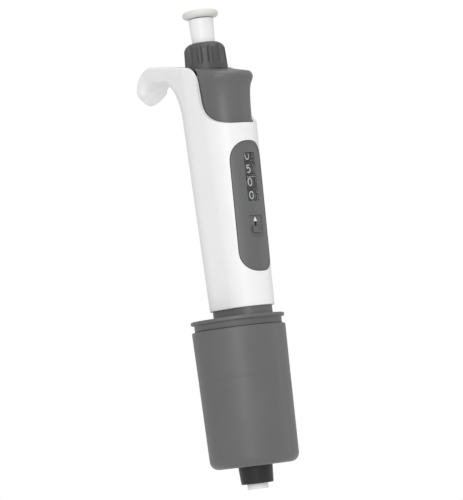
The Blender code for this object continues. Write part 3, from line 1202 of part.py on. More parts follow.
def main():
    clear_scene()
    handle_shell()
    display_panel()
    inner_frame()
    knob_bearing()
    air_cylinder()
    nozzle()
    counter_frame()
    springs()
    carrier = body("stop_carrier")
    press = body("plunger")
    press.parent = carrier
    stop_nut(carrier)
    plunger(press)
    knob(body("knob"))
    counter_drive(body("counter_drive", 0, -COUNTER_Y))
    for number, name in enumerate(("tenths", "units", "tens"), 1):
        drum = body("counter_" + name, 0, -COUNTER_Y)
        counter_drum(name, number, drum, body("carry_" + name, *pinion_place()))
    ejector(body("ejector"))
    lock(body("lock"))


main()
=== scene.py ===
"""Looks of the hand-held adjustable pipette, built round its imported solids.

Metres, in the frame of the solids: +Z up the pipette, -Y the display side, +Y the finger hook.
"""
import json
import math

import bpy
import numpy as np
from mathutils import Matrix, Vector

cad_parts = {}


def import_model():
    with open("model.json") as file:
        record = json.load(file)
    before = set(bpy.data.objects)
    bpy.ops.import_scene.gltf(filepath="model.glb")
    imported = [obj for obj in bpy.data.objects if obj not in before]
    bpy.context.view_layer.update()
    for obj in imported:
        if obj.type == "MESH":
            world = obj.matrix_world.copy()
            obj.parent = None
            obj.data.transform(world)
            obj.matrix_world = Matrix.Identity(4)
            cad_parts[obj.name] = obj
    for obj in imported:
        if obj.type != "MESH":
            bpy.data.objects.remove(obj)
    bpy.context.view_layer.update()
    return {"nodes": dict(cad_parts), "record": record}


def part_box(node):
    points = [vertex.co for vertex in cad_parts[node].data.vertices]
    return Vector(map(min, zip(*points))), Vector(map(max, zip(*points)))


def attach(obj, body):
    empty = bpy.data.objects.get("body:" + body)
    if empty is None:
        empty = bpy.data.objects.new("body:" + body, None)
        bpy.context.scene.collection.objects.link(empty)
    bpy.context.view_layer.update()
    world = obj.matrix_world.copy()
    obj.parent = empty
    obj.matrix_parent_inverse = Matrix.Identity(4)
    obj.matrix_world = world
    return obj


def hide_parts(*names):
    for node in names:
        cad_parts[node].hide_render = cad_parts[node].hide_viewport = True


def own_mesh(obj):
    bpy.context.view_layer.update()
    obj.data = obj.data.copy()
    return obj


bl_info = {
    "name": "Pipette looks",
    "version": (1, 0, 0),
    "blender": (4, 5, 0),
    "location": "View3D > Sidebar > Pipette",
    "description": "Builds the visible pieces of an adjustable pipette round its solids",
    "category": "Object",
}

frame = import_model()
MM = 0.001
TAU = 2 * math.pi

# Sizes taken from the solids, so that a new pack moves the looks with it
HANDLE_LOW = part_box("handle_shell")[0]
KNOB_LOW, KNOB_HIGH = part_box("volume_knob")
CAP_LOW, CAP_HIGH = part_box("push_button")
STEM_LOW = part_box("button_stem")[0]
SLEEVE_LOW, SLEEVE_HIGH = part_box("ejector_sleeve")
COLLAR_LOW, COLLAR_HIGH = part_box("ejector_collar")
CONE_LOW, CONE_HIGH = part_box("nozzle_cone")
FILTER_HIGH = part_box("nozzle_filter")[1]
BEZEL_LOW, BEZEL_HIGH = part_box("display_bezel")
LENS_LOW, LENS_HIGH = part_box("window_lens")
GRIP_LOW, GRIP_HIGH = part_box("lock_slider")

# The grip's section is the hull of a circle on the axis and one this far in front of it
FRONT_OFFSET = 10.5 * MM
SECTION_Z = (98 * MM, 175 * MM)
BACK_RADII = (13.7 * MM, 15.2 * MM)
FRONT_RADII = (13.2 * MM, 15.1 * MM)
WALL = 1.8 * MM
TOP_Z = 218.8 * MM
TOP_SLOPE = 0.185
HOOK_HALF_WIDTH = 9.0 * MM
HOOK_UNDER = 215.6 * MM
HOOK_TAPER_Y = 41 * MM
SKIN_SINK = 0.04 * MM          # the hook's skin starts this far inside the grip's
SHOULDER_Y, SHOULDER_RADIUS, SHOULDER_DROP = 1.8 * MM, 10.7 * MM, 10.3 * MM
OPENING_BOTTOM = 186.1 * MM
PANEL_END, PANEL_FULLNESS = 11.5 * MM, 2.5
PANEL_BACK = -12 * MM
RECESS_Z = (127.2 * MM, 138.6 * MM)
ROD_Y = 9.5 * MM               # the ejector's rod and spring stand this far behind the axis
FAR = 60 * MM                  # cutters reach this far past the part


class PipetteLooks(bpy.types.PropertyGroup):
    """Colours and small sizes of the pipette."""

    grip_white: bpy.props.FloatVectorProperty(
        name="Grip", description="Colour of the white grip and stem", subtype="COLOR",
        size=3, min=0, max=1, default=(0.87, 0.87, 0.87),
    )
    button_white: bpy.props.FloatVectorProperty(
        name="Push button", description="Colour of the push button's cap", subtype="COLOR",
        size=3, min=0, max=1, default=(0.70, 0.71, 0.68),
    )
    dark_grey: bpy.props.FloatVectorProperty(
        name="Dark plastic", description="Colour of the knob, ejector and sleeve", subtype="COLOR",
        size=3, min=0, max=1, default=(0.125, 0.125, 0.127),
    )
    nozzle_black: bpy.props.FloatVectorProperty(
        name="Nozzle", description="Colour of the tip cone", subtype="COLOR",
        size=3, min=0, max=1, default=(0.008, 0.008, 0.008),
    )
    edge_radius: bpy.props.FloatProperty(
        name="Edge radius", description="Rounding of the moulded edges", unit="LENGTH",
        min=0.0001, max=0.001, precision=5, default=0.0004,
    )
    top_radius: bpy.props.FloatProperty(
        name="Top rounding", description="Rounding round the top of the grip", unit="LENGTH",
        min=0.0003, max=0.003, precision=5, default=0.0012,
    )
    figure_height: bpy.props.FloatProperty(
        name="Figure height", description="Height of the counter's figures", unit="LENGTH",
        min=0.002, max=0.005, precision=5, default=0.0038,
    )


def looks():
    return bpy.context.scene.pipette_looks


# Surfaces


def skin(name, grid, wrap_rows=False, poles=None, flat_ends=False):
    """A mesh over a grid of points, rows by columns. The columns close round each row. The rows close on
    themselves if wrap_rows, or else on the two poles, or on the middles of the end rows. With flat_ends, each
    end row is one flat face, which may be hollow in outline."""
    rows, columns = grid.shape[:2]
    index = np.arange(rows * columns).reshape(rows, columns)
    low = index if wrap_rows else index[:-1]
    high = np.roll(index, -1, 0) if wrap_rows else index[1:]
    quads = np.stack([low, np.roll(low, -1, 1), np.roll(high, -1, 1), high], -1).reshape(-1, 4)
    points = grid.reshape(-1, 3)
    fans = np.zeros((0, 3), int)
    if not wrap_rows:
        middles = np.array([grid[0].mean(0), grid[-1].mean(0)] if poles is None else poles, float)
        points = np.vstack([points, middles])
        first, last = index[0], index[-1]
        start, stop = np.full(columns, rows * columns), np.full(columns, rows * columns + 1)
        fans = np.vstack([
            np.stack([np.roll(first, -1), first, start], -1),
            np.stack([last, np.roll(last, -1), stop], -1),
        ])
    corner = points[np.vstack([quads[:, :3], quads[:, [0, 2, 3]], fans])]
    volume = (corner[:, 0] * np.cross(corner[:, 1], corner[:, 2])).sum()
    ends = fans.tolist()
    if flat_ends:
        points, ends = points[:-2], [index[0][::-1].tolist(), index[-1].tolist()]
    faces = quads.tolist() + ends
    if volume < 0:
        faces = [face[::-1] for face in faces]
    mesh = bpy.data.meshes.new(name)
    mesh.from_pydata(points.tolist(), [], faces)
    mesh.validate()
    return finished(bpy.data.objects.new(name, mesh))


def finished(piece, angle=35):
    """Links a piece to the scene and shades it smooth, with creases past the angle in degrees."""
    if piece.name not in bpy.context.scene.collection.objects:
        bpy.context.scene.collection.objects.link(piece)
    piece.data.shade_smooth()
    piece.data.set_sharp_from_angle(angle=math.radians(angle))
    return piece


def unit(vectors):
    length = np.linalg.norm(vectors, axis=-1, keepdims=True)
    return vectors / np.where(length > 1e-12, length, 1)


def rounded(points, radii, steps=6):
    """An outline with its corners turned to arcs: each arc's centre lies on the corner's bisector, at
    radius / sin(half angle), and its points are the two tangent directions mixed by the sine rule."""
    points = np.asarray(points, float)
    radii = np.broadcast_to(np.asarray(radii, float), len(points))[:, None]
    one, two = unit(np.roll(points, 1, 0) - points), unit(np.roll(points, -1, 0) - points)
    half = np.arccos(np.clip((one * two).sum(1, keepdims=True), -1, 0.999999)) / 2
    reach = radii / np.tan(half)
    centre = points + unit(one + two) * radii / np.sin(half)
    start, end = points + one * reach - centre, points + two * reach - centre
    angle = np.maximum(math.pi - 2 * half, 1e-6)[:, None]
    share = np.linspace(0, 1, steps)[None, :, None]
    mix = np.sin((1 - share) * angle) * start[:, None] + np.sin(share * angle) * end[:, None]
    curve = centre[:, None] + mix / np.sin(angle)
    curve = np.where(radii[:, None] > 0, curve, points[:, None]).reshape(-1, 2)
    step = np.linalg.norm(curve - np.roll(curve, 1, 0), axis=1)
    return curve[step > 1e-8]


def turned(name, profile, sides=96, at=(0.0, 0.0)):
    """A solid of revolution: (radius, height) carried round the axis. A profile that starts on the axis
    ends on it too, and any other is a closed loop."""
    profile = np.asarray(profile, float)
    solid = profile[0, 0] < 1e-9
    body = profile[1:-1] if solid else profile
    turn = np.arange(sides) / sides * TAU
    radius, height = body[:, :1], body[:, 1:]
    grid = np.stack([
        at[0] + radius * np.cos(turn), at[1] + radius * np.sin(turn), height + 0 * turn,
    ], -1)
    poles = [(*at, profile[0, 1]), (*at, profile[-1, 1])] if solid else None
    return skin(name, grid, wrap_rows=not solid, poles=poles)


def axis_profile(points, radii, steps=6):
    """A profile that starts and ends on the axis, with its other corners rounded."""
    points = np.asarray(points, float)
    mirror = points[::-1] * (-1, 1)
    loop = rounded(np.vstack([points, mirror[1:-1]]), np.concatenate([radii, radii[::-1][1:-1]]), steps)
    side = loop[loop[:, 0] > 1e-9]
    heights = points[[0, -1], 1]
    order = np.roll(side, -int(np.argmin(np.hypot(side[:, 0], side[:, 1] - heights[0]))), 0)
    return np.vstack([[0, heights[0]], order, [0, heights[1]]])


def prism(name, outline, low, high, along):
    """A closed outline in the two other axes, carried from low to high along x, y or z."""
    outline = np.asarray(outline, float)
    put = {"x": (2, 0, 1), "y": (0, 2, 1), "z": (0, 1, 2)}[along]
    level = np.ones((len(outline), 1))
    grid = np.stack([np.hstack([outline, low * level])[:, put], np.hstack([outline, high * level])[:, put]])
    return skin(name, grid, flat_ends=True)


def arc(centre, radii, start, end, steps):
    """Points of an elliptical arc, angles in degrees."""
    turn = np.radians(np.linspace(start, end, steps))
    return np.stack([centre[0] + radii[0] * np.cos(turn), centre[1] + radii[1] * np.sin(turn)], -1)


def box_outline(width, low, high):
    return [(-width / 2, low), (width / 2, low), (width / 2, high), (-width / 2, high)]


def panel_outline(half_width, low, high, steps=60):
    """The display's upright outline in x and z. Each end is half a superellipse:
    |x / half_width| ** PANEL_FULLNESS + |z / PANEL_END| ** PANEL_FULLNESS = 1."""
    ends = []
    for middle, start in ((high - PANEL_END, 0), (low + PANEL_END, 180)):
        circle = arc((0, 0), (1, 1), start, start + 180, steps)
        full = np.sign(circle) * np.abs(circle) ** (2 / PANEL_FULLNESS)
        ends.append(np.array((0, middle)) + full * (half_width, PANEL_END))
    return np.vstack(ends)


def carve(piece, *work):
    """Applies exact Booleans to a piece, one after another, and removes the tools."""
    for operation, tool in work:
        modifier = piece.modifiers.new(tool.name, "BOOLEAN")
        modifier.operation = operation
        modifier.solver = "EXACT"
        modifier.object = tool
    bpy.context.view_layer.update()
    mesh = bpy.data.meshes.new_from_object(piece.evaluated_get(bpy.context.evaluated_depsgraph_get()))
    old = piece.data
    piece.modifiers.clear()
    piece.data = mesh
    mesh.name = piece.name
    bpy.data.meshes.remove(old)
    for _, tool in work:
        bpy.data.meshes.remove(tool.data)
    return finished(piece)


def taper(radii, z):
    return radii[0] + (radii[1] - radii[0]) * (z - SECTION_Z[0]) / (SECTION_Z[1] - SECTION_Z[0])


def section_columns(arc_steps=44, side_steps=8):
    """Normal angle and place, 0 at the back circle and 1 at the front one, round the grip's section.
    Each arc is swept by angle, and each flat side by place."""
    tilt = math.asin((FRONT_RADII[0] - BACK_RADII[0]) / FRONT_OFFSET)
    back = np.linspace(tilt, math.pi - tilt, arc_steps)
    front = np.linspace(math.pi - tilt, TAU + tilt, arc_steps)
    side = np.linspace(0, 1, side_steps + 2)[1:-1]
    angle = np.concatenate([back, np.full(side_steps, math.pi - tilt), front, np.full(side_steps, tilt)])
    place = np.concatenate([np.zeros(arc_steps), side, np.ones(arc_steps), side[::-1]])
    return angle, place


def section(z, inset, columns):
    """Points round the grip's section at each height and inset: the circle's own point at the normal
    angle."""
    angle, place = columns
    radius = taper(BACK_RADII, z) * (1 - place) + taper(FRONT_RADII, z) * place - inset
    return np.stack([radius * np.cos(angle), radius * np.sin(angle) - FRONT_OFFSET * place], -1)


def top_plane(y):
    return TOP_Z + TOP_SLOPE * y


def front_y(z, inset=0.0):
    """Front of the grip's wall on the middle line."""
    return -FRONT_OFFSET - taper(FRONT_RADII, z) + inset


# Pieces


def hook_taper():
    """Sine of the angle at which the hook's sides close on each other, seen from above."""
    return (taper(BACK_RADII, TOP_Z) - HOOK_HALF_WIDTH) / HOOK_TAPER_Y


def hook_flare():
    """The grip's back drawn out to the hook by a quarter ellipse. Each level is the hull of the back circle
    and a smaller one that touches the hook's sides: the point whose circle reaches further at each angle."""
    sine, low, out = hook_taper(), 192 * MM, 16.8 * MM
    far = taper(BACK_RADII, low) + out
    curve = arc((far, low), (out, HOOK_UNDER - low), 180, 90, 40)
    curve = np.vstack([curve, [far, HOOK_UNDER + 0.4 * MM]])
    radius = taper(BACK_RADII, curve[:, 1:]) - SKIN_SINK
    centre = np.maximum(0, (curve[:, :1] - radius - SKIN_SINK) / (1 - sine))
    turn = np.linspace(0, TAU, 181)[:-1]
    further = centre * np.sin(turn) + radius - centre * sine > radius
    size = np.where(further, radius - centre * sine, radius)
    return skin("hook_flare", np.stack([
        size * np.cos(turn), size * np.sin(turn) + np.where(further, centre, 0), curve[:, 1:] + 0 * turn,
    ], -1))


def finger_hook():
    """The hook: a rounded section carried from inside the grip to the tip. Its top and under curves are
    lines and quarter ellipses in y and z. Its half width narrows in a straight line, and closes to a blunt
    point as (1 - share ** 1.2) ** 0.62 of the way to the tip."""
    bend, tip, begin = (34.4 * MM, 212.3 * MM), 206.6 * MM, 213.0 * MM
    arm, down = np.linspace(6 * MM, bend[0], 26)[:-1], np.sin(np.linspace(0, math.pi / 2, 60))[:, None]
    outer = np.vstack([
        np.stack([arm, top_plane(arm) - 0.01 * MM], -1),
        bulged(bend, (15.2 * MM, top_plane(bend[0]) - bend[1] - 0.01 * MM), 50)[:-1],
        np.array((49.6 * MM, bend[1])) * (1 - down) + np.array((50.0 * MM, tip)) * down,
    ])
    inner = np.vstack([
        np.stack([arm, 0 * arm + HOOK_UNDER], -1),
        arc((35.1 * MM, bend[1]), (8.8 * MM, HOOK_UNDER - bend[1]), 94, 0, 50)[:-1],
        np.array((43.9 * MM, bend[1])) * (1 - down) + np.array((48.4 * MM, tip)) * down,
    ])
    middle, half = (outer + inner) / 2, (outer - inner) / 2
    sine = hook_taper()
    wide = (taper(BACK_RADII, TOP_Z) - SKIN_SINK - middle[:, 0] * sine) / math.sqrt(1 - sine**2)
    wide = np.maximum(wide, HOOK_HALF_WIDTH)
    close = np.where(middle[:, 0] > 38 * MM, np.clip((begin - middle[:, 1]) / (begin - tip), 0, 1), 0)
    width = wide * (1 - close**1.2) ** 0.62
    depth = np.linalg.norm(half, axis=1) * np.sqrt(1 - close**8)
    away = np.clip((middle[:, 0] - 22 * MM) / (16 * MM), 0, 1)
    away = away * away * (3 - 2 * away)
    above, below = (1.2 + 0.5 * away) * MM, (0.5 + 3.3 * away) * MM
    turn = np.radians(np.linspace(0, 90, 9))
    grid = []
    for side, end in ((1, 1), (-1, 1), (-1, -1), (1, -1)):
        corner = np.minimum(above if end > 0 else below, 0.98 * np.minimum(width, depth))[:-1, None]
        swing = turn if side * end > 0 else turn[::-1]
        across = side * (width[:-1, None] - corner + corner * np.cos(swing))
        up = end * (depth[:-1, None] - corner + corner * np.sin(swing))
        grid.append(np.stack([across, up], -1))
    top, bottom = (np.concatenate(pair, 1) for pair in (grid[:2], grid[2:]))
    share = np.linspace(0, 1, 6)[1:-1, None]
    across_top = top[:, 8:9] * (1 - share) + top[:, 9:10] * share
    across_bottom = bottom[:, 8:9] * (1 - share) + bottom[:, 9:10] * share
    flat = np.concatenate([
        top[:, :9], across_top, top[:, 9:], bottom[:, :9], across_bottom, bottom[:, 9:],
    ], 1)
    out = unit(half)[:-1, None]
    place = middle[:-1, None] + out * flat[..., 1:]
    return skin("finger_hook", np.concatenate([flat[..., :1], place], -1),
                poles=[(0, *middle[0]), (0, *middle[-1])])


def even(path, share):
    """Points of a polyline at shares of its length."""
    run = np.concatenate([[0], np.cumsum(np.linalg.norm(np.diff(path, axis=0), axis=1))])
    return np.stack([np.interp(share * run[-1], run, path[:, k]) for k in (0, 1)], -1)


def bulged(centre, radii, steps, power=2.3):
    """A quarter from the top to the side of a superellipse: |y / a| ** power + |z / b| ** power = 1."""
    turn = np.linspace(math.pi / 2, 0, steps)
    return np.stack([
        centre[0] + radii[0] * np.abs(np.cos(turn)) ** (2 / power),
        centre[1] + radii[1] * np.abs(np.sin(turn)) ** (2 / power),
    ], -1)


def levels_skin(name, levels, columns):
    """A skin of the grip's section at each height and inset."""
    heights = np.array([z for z, inset in levels])[:, None] + np.zeros(len(columns[0]))
    insets = np.array([inset for z, inset in levels])[:, None]
    return skin(name, np.dstack([section(heights, insets, columns), heights]))


def grip_shell():
    """The grip: its section carried up to the sloping top with a rounded rim, joined with the hook, hollowed
    from below, and opened for the knob, the ejector button and the display."""
    columns = section_columns()
    edge, top = looks().edge_radius, looks().top_radius
    low, web, hole = HANDLE_LOW[2], TOP_Z - 4.2 * MM, 11.5 * MM
    quarter = np.linspace(0, math.pi / 2, 6)
    near = np.full(len(columns[0]), 216 * MM)
    rim = top_plane(section(near, 0.0, columns)[:, 1]) - top
    rows = []
    for turn in quarter[:0:-1]:
        z = low + edge * (1 - math.sin(turn)) + 0 * rim
        rows.append(np.column_stack([section(z, edge * (1 - math.cos(turn)), columns), z]))
    for share in np.linspace(0, 1, 70):
        z = (low + edge) * (1 - share) + rim * share
        rows.append(np.column_stack([section(z, 0.0, columns), z]))
    for turn in quarter[1:]:
        ring = section(rim + top, top * (1 - math.cos(turn)), columns)
        rows.append(np.column_stack([ring, top_plane(ring[:, 1]) - top * (1 - math.sin(turn))]))
    for share in (0.6, 0.2):
        ring = rows[-1][:, :2] * share
        rows.append(np.column_stack([ring, top_plane(ring[:, 1])]))
    cavity = levels_skin("grip_cavity", [
        (low - MM, 1.1 * MM), (105.3 * MM, 1.1 * MM), (105.3 * MM, WALL), (131.5 * MM, WALL),
        (131.5 * MM, 2.9 * MM), (134.2 * MM, 2.9 * MM), (134.2 * MM, WALL), (web, WALL),
    ], columns)
    room = section(near, WALL + 0.15 * MM, columns)
    room[:, 1] = np.minimum(room[:, 1], SHOULDER_Y - 1.1 * MM)
    shoulder = shoulder_arc(0.0, 90, 180, 24)
    scoop = arc((-26.5 * MM, OPENING_BOTTOM + 14.3 * MM), (17.2 * MM, 14.3 * MM), 0, -90, 24)
    opening = np.vstack([[(SHOULDER_Y, 0.3)], shoulder, scoop, [(-FAR, OPENING_BOTTOM), (-FAR, 0.3)]])
    panel = panel_outline(BEZEL_HIGH[0] + 0.3 * MM, BEZEL_LOW[2] - 0.3 * MM, BEZEL_HIGH[2] + 0.3 * MM)
    hole_side = [(0, web - 2 * MM), (hole, web - 2 * MM), (hole, 0.24), (0, 0.24)]
    return carve(
        skin("grip", np.array(rows)),
        ("UNION", hook_flare()),
        ("UNION", finger_hook()),
        ("DIFFERENCE", cavity),
        ("DIFFERENCE", turned("knob_hole", hole_side)),
        ("DIFFERENCE", prism("ejector_opening", opening, -FAR, FAR, "x")),
        ("DIFFERENCE", prism("button_room", room, web - MM, 0.24, "z")),
        ("DIFFERENCE", prism("panel_opening", panel, -FAR, PANEL_BACK, "y")),
    )


def shoulder_arc(gap, start, end, steps):
    """Part of the circle, in y and z, that ends the grip beside the thumb button."""
    radius = SHOULDER_RADIUS + gap
    return arc((SHOULDER_Y, TOP_Z - SHOULDER_DROP), (radius, radius), start, end, steps)


def button_top(x, y):
    """Height of the thumb surface: it falls in step with the way forward, and with the square of the way
    sideways."""
    return 218.4 * MM - 0.25 * np.maximum(0, SHOULDER_Y - SHOULDER_RADIUS / 2 - y) - 4.0 * x**2


def thumb_button():
    """The ejector button: the grip's section set in, flared towards the front by a smooth step, with a
    rolled lip and a thumb surface that falls away forwards."""
    columns = section_columns(60, 10)
    levels = np.array([184.9, 189.3, 193.7, 197.0, 199.5, 201.9, 203.9, 205.5, 207.1, 208.6, 209.6, 210.4])
    flares = np.array([0.0, 0.02, 0.08, 0.18, 0.28, 0.44, 0.68, 0.95, 1.45, 2.1, 2.5, 2.75])
    fine = np.linspace(levels[0], levels[-1], 48)
    flare = smooth_through(levels, flares, fine) * MM

    def ring(z, out, extra=0.0):
        base = section(z + np.zeros(len(columns[0])), 2.3 * MM + extra, columns)
        wide = section(z + np.zeros(len(columns[0])), 2.3 * MM + extra - out, columns)
        share = np.clip((-base[:, 1] - FRONT_OFFSET) / (10 * MM), 0, 1)
        share = (share * share * (3 - 2 * share))[:, None]
        return base + share * (wide - base)

    rows = [ring(z * MM, out) for z, out in zip(fine, flare)]
    heights = [np.full(len(rows[0]), z * MM) for z in fine]
    lip = rows[-1]
    for turn in np.radians([20, 40, 60, 75, 90]):
        shrink = ring(levels[-1] * MM, flares[-1] * MM, 1.7 * MM * (1 - math.cos(turn)))
        crown = button_top(shrink[:, 0], shrink[:, 1])
        rows.append(shrink)
        heights.append(heights[47] + (crown - heights[47]) * math.sin(turn))
    edge = rows[-1]
    centre = np.array([0, -13 * MM])
    for share in (0.85, 0.65, 0.45, 0.25, 0.08):
        rows.append(centre + (edge - centre) * share)
        heights.append(button_top(rows[-1][:, 0], rows[-1][:, 1]))
    grid = np.dstack([np.array(rows), np.array(heights)])
    piece = skin("thumb_button", grid)

    low = [ring(z * MM, 0.0, 1.6 * MM) for z in (184.0, 200.0, 213.0)]
    depth = [np.full(len(lip), z * MM) for z in (184.0, 200.0, 211.0)]
    hollow = skin("button_hollow", np.dstack([np.array(low), np.array(depth)]))
    curve = shoulder_arc(0.35 * MM, 96, 161, 22)
    kept = np.vstack([
        [(-FAR, 0.1), (2.4 * MM, 0.1), (2.4 * MM, curve[-1, 1])], curve[::-1],
        [(curve[0, 0], 0.3), (-FAR, 0.3)],
    ])
    hub = turned("button_hub", [(0, 0.15), (11.5 * MM, 0.15), (11.5 * MM, 0.24), (0, 0.24)])
    return carve(
        piece,
        ("DIFFERENCE", hollow),
        ("INTERSECT", prism("button_side", kept, -FAR, FAR, "x")),
        ("DIFFERENCE", hub),
    )


def smooth_through(x, y, at):
    """A cubic through the points, with each point's slope taken from its neighbours."""
    slope = np.gradient(y, x)
    i = np.clip(np.searchsorted(x, at, side="right") - 1, 0, len(x) - 2)
    gap = x[i + 1] - x[i]
    t = (at - x[i]) / gap
    return ((1 + 2 * t) * (1 - t) ** 2 * y[i] + t * (1 - t) ** 2 * gap * slope[i]
            + t * t * (3 - 2 * t) * y[i + 1] + t * t * (t - 1) * gap * slope[i + 1])


def soft_min(a, b, width):
    """The smaller of two values, blended where they are closer than width."""
    share = np.clip(0.5 + 0.5 * (b - a) / width, 0, 1)
    return b * (1 - share) + a * share - width * share * (1 - share)


def fluted_knob():
    """The knob: a turned profile whose outer radius is cut by round-ended grooves. At an angle off a
    groove's middle, the ray from the axis meets the groove's circle, which closes below as a ball does."""
    bore, low, high = 6.85 * MM, KNOB_LOW[2], KNOB_HIGH[2]
    root, wide, narrow = 216.6 * MM, KNOB_HIGH[0], 10.6 * MM
    start, end = np.array([narrow, high - 3.3 * MM]), np.array([7.4 * MM, high])
    side = rounded([
        (3.9 * MM, low), (8.6 * MM, low), (8.6 * MM, 204.8 * MM), (7.8 * MM, 204.8 * MM),
        (7.8 * MM, 206.2 * MM), (8.6 * MM, 206.2 * MM), (8.6 * MM, root), (wide, root),
        start, (3.0 * MM, start[1]),
    ], [0, 0, 0, 0, 0, 0, 0, 0.3 * MM, 0, 0], 5)[:-1]
    wall = np.stack([
        np.interp(np.linspace(root + 0.3 * MM, start[1], 40), [root, start[1]], [wide, narrow]),
        np.linspace(root + 0.3 * MM, start[1], 40),
    ], -1)[1:]
    share = np.linspace(0, 1, 22)[1:, None]
    outward = unit(np.array([end[1] - start[1], start[0] - end[0]]))
    dome = start + share * (end - start) + 0.55 * MM * np.sin(math.pi * share) * outward
    inside = [(bore, high), (bore, 213.5 * MM), (2.8 * MM, 213.5 * MM), (2.8 * MM, 211.0 * MM),
              (3.9 * MM, 211.0 * MM)]
    profile = np.vstack([side[:-1], wall, dome, inside])
    turn = np.arange(336) / 336 * TAU
    radius = profile[:, :1] + 0 * turn
    height = profile[:, 1:] + 0 * turn
    ball, reach = 1.65 * MM, 11.3 * MM
    off = (turn + math.radians(10)) % (TAU / 12) - TAU / 24 + 0 * height
    bottom = 219.7 * MM + ball
    groove = np.sqrt(np.clip(ball**2 - np.maximum(0, bottom - height) ** 2, 0, None))
    inside_cut = groove**2 - (reach * np.sin(off)) ** 2
    cut = reach * np.cos(off) - np.sqrt(np.clip(inside_cut, 0, None))
    cut = np.where(inside_cut > 0, cut, 1.0)
    outer = (profile[:, 0] > bore + 0.05 * MM) & (profile[:, 1] > root)
    carved = soft_min(radius, np.minimum(cut, radius + 0.3 * MM), 0.12 * MM)
    radius = np.where(outer[:, None], np.minimum(radius, carved), radius)
    grid = np.stack([radius * np.cos(turn), radius * np.sin(turn), height], -1)
    return skin("fluted_knob", grid, wrap_rows=True)


def wall_patch(name, width, low, high, outside, inside, steps=(72, 24)):
    """A curved plate in the grip's front wall, as wide and high as a box: a grid in x and z lies on the front
    arc at each inset, and one in front of the other closes at the edges."""
    x = np.linspace(-width / 2, width / 2, steps[0])
    z = np.linspace(low, high, steps[1])[:, None]

    def face(inset):
        radius = taper(FRONT_RADII, z) - inset
        return -FRONT_OFFSET - np.sqrt(radius**2 - x**2)

    rows = np.stack([
        np.concatenate([x + 0 * z, (x + 0 * z)[:, ::-1]], 1),
        np.concatenate([face(outside), face(inside)[:, ::-1]], 1),
        np.concatenate([z + 0 * x, z + 0 * x], 1),
    ], -1)
    return skin(name, rows)


def recess_floor():
    return front_y((RECESS_Z[0] + RECESS_Z[1]) / 2, 1.0 * MM)


def display_panel():
    """The bezel: a curved plate kept inside the display's outline, with a rim, a window and the lock's
    recess."""
    low, high = BEZEL_LOW[2], BEZEL_HIGH[2]
    plate = wall_patch("bezel", 21 * MM, low - MM, high + MM, 0.12 * MM, WALL, (90, 60))
    rim = wall_patch("bezel_rim", 21 * MM, low - MM, high + MM, -0.02 * MM, 0.6 * MM, (90, 60))
    half, edge = BEZEL_HIGH[0], 0.9 * MM
    inner = panel_outline(half - edge, low + edge, high - edge)
    carve(rim, ("DIFFERENCE", prism("rim_hole", inner, -FAR, PANEL_BACK, "y")))
    window = (LENS_LOW[2] - 0.3 * MM, LENS_HIGH[2] + 0.3 * MM)
    width = LENS_HIGH[0] - LENS_LOW[0] + 0.6 * MM
    opening = rounded(box_outline(width, *window), 0.8 * MM)
    recess = rounded(box_outline(8.6 * MM, *RECESS_Z), np.array([2.2, 0.9, 0.7, 0.7]) * MM)
    slot = rounded(box_outline(1.4 * MM, 129.6 * MM, 135.2 * MM), 0.3 * MM)
    return carve(
        plate,
        ("UNION", rim),
        ("INTERSECT", prism("bezel_outline", panel_outline(half, low, high), -FAR, PANEL_BACK, "y")),
        ("DIFFERENCE", prism("window_hole", opening, -FAR, PANEL_BACK, "y")),
        ("DIFFERENCE", prism("lock_recess", recess, -FAR, recess_floor(), "y")),
        ("DIFFERENCE", prism("lock_slot", slot, -FAR, PANEL_BACK, "y")),
    )


STROKES = {
    0: [("arc", (0, 0), (0.5, 0.8), 90, 450)],
    1: [("line", [(-0.3, 0.45), (0.08, 0.8), (0.08, -0.8)])],
    2: [("arc", (0, 0.33), (0.47, 0.47), 165, -30), ("line", [(0.41, 0.1), (-0.5, -0.8), (0.5, -0.8)])],
    3: [("arc", (0, 0.4), (0.42, 0.4), 150, -90), ("arc", (0, -0.4), (0.48, 0.4), 90, -150)],
    4: [("line", [(0.22, -0.8), (0.22, 0.8), (-0.5, -0.35), (0.5, -0.35)])],
    5: [("line", [(0.42, 0.8), (-0.34, 0.8), (-0.42, 0.08)]), ("arc", (0, -0.28), (0.48, 0.52), 140, -140)],
    6: [("arc", (0, -0.32), (0.47, 0.48), 180, 540), ("arc", (0.35, -0.32), (0.82, 1.12), 180, 92)],
    7: [("line", [(-0.48, 0.8), (0.48, 0.8), (-0.12, -0.8)])],
    8: [("arc", (0, 0.41), (0.38, 0.39), 90, 450), ("arc", (0, -0.39), (0.48, 0.41), 90, 450)],
    9: [("arc", (0, 0.32), (0.47, 0.48), 0, 360), ("arc", (-0.35, 0.32), (0.82, 1.12), 0, -88)],
}


def stroke_path(stroke):
    """A stroke's points: an arc swept by angle, or a line sampled evenly between its corners."""
    if stroke[0] == "arc":
        return arc(*stroke[1:], 30)
    corners = np.array(stroke[1], float)
    return even(corners, np.unique(np.concatenate([
        np.linspace(0, 1, 30), np.concatenate([[0], np.cumsum(
            np.linalg.norm(np.diff(corners, axis=0), axis=1))])
        / np.linalg.norm(np.diff(corners, axis=0), axis=1).sum(),
    ])))


def figure_ribbon(path, height, width, radius, turn, at, z):
    """A flat ribbon round a stroke, wrapped on a drum: across becomes angle, up stays height."""
    path = path * height / 1.6
    along = unit(np.gradient(path, axis=0))
    side = np.stack([-along[:, 1], along[:, 0]], -1) * width / 2
    left, right = path + side, path - side
    low, high = radius - 0.05 * MM, radius + 0.04 * MM
    flat = np.stack([left, left, right, right], 1)
    depth = np.array([low, high, high, low])
    angle = turn + flat[..., 0] / radius
    return np.stack([
        at[0] + depth * np.cos(angle), at[1] + depth * np.sin(angle), z + flat[..., 1],
    ], -1)


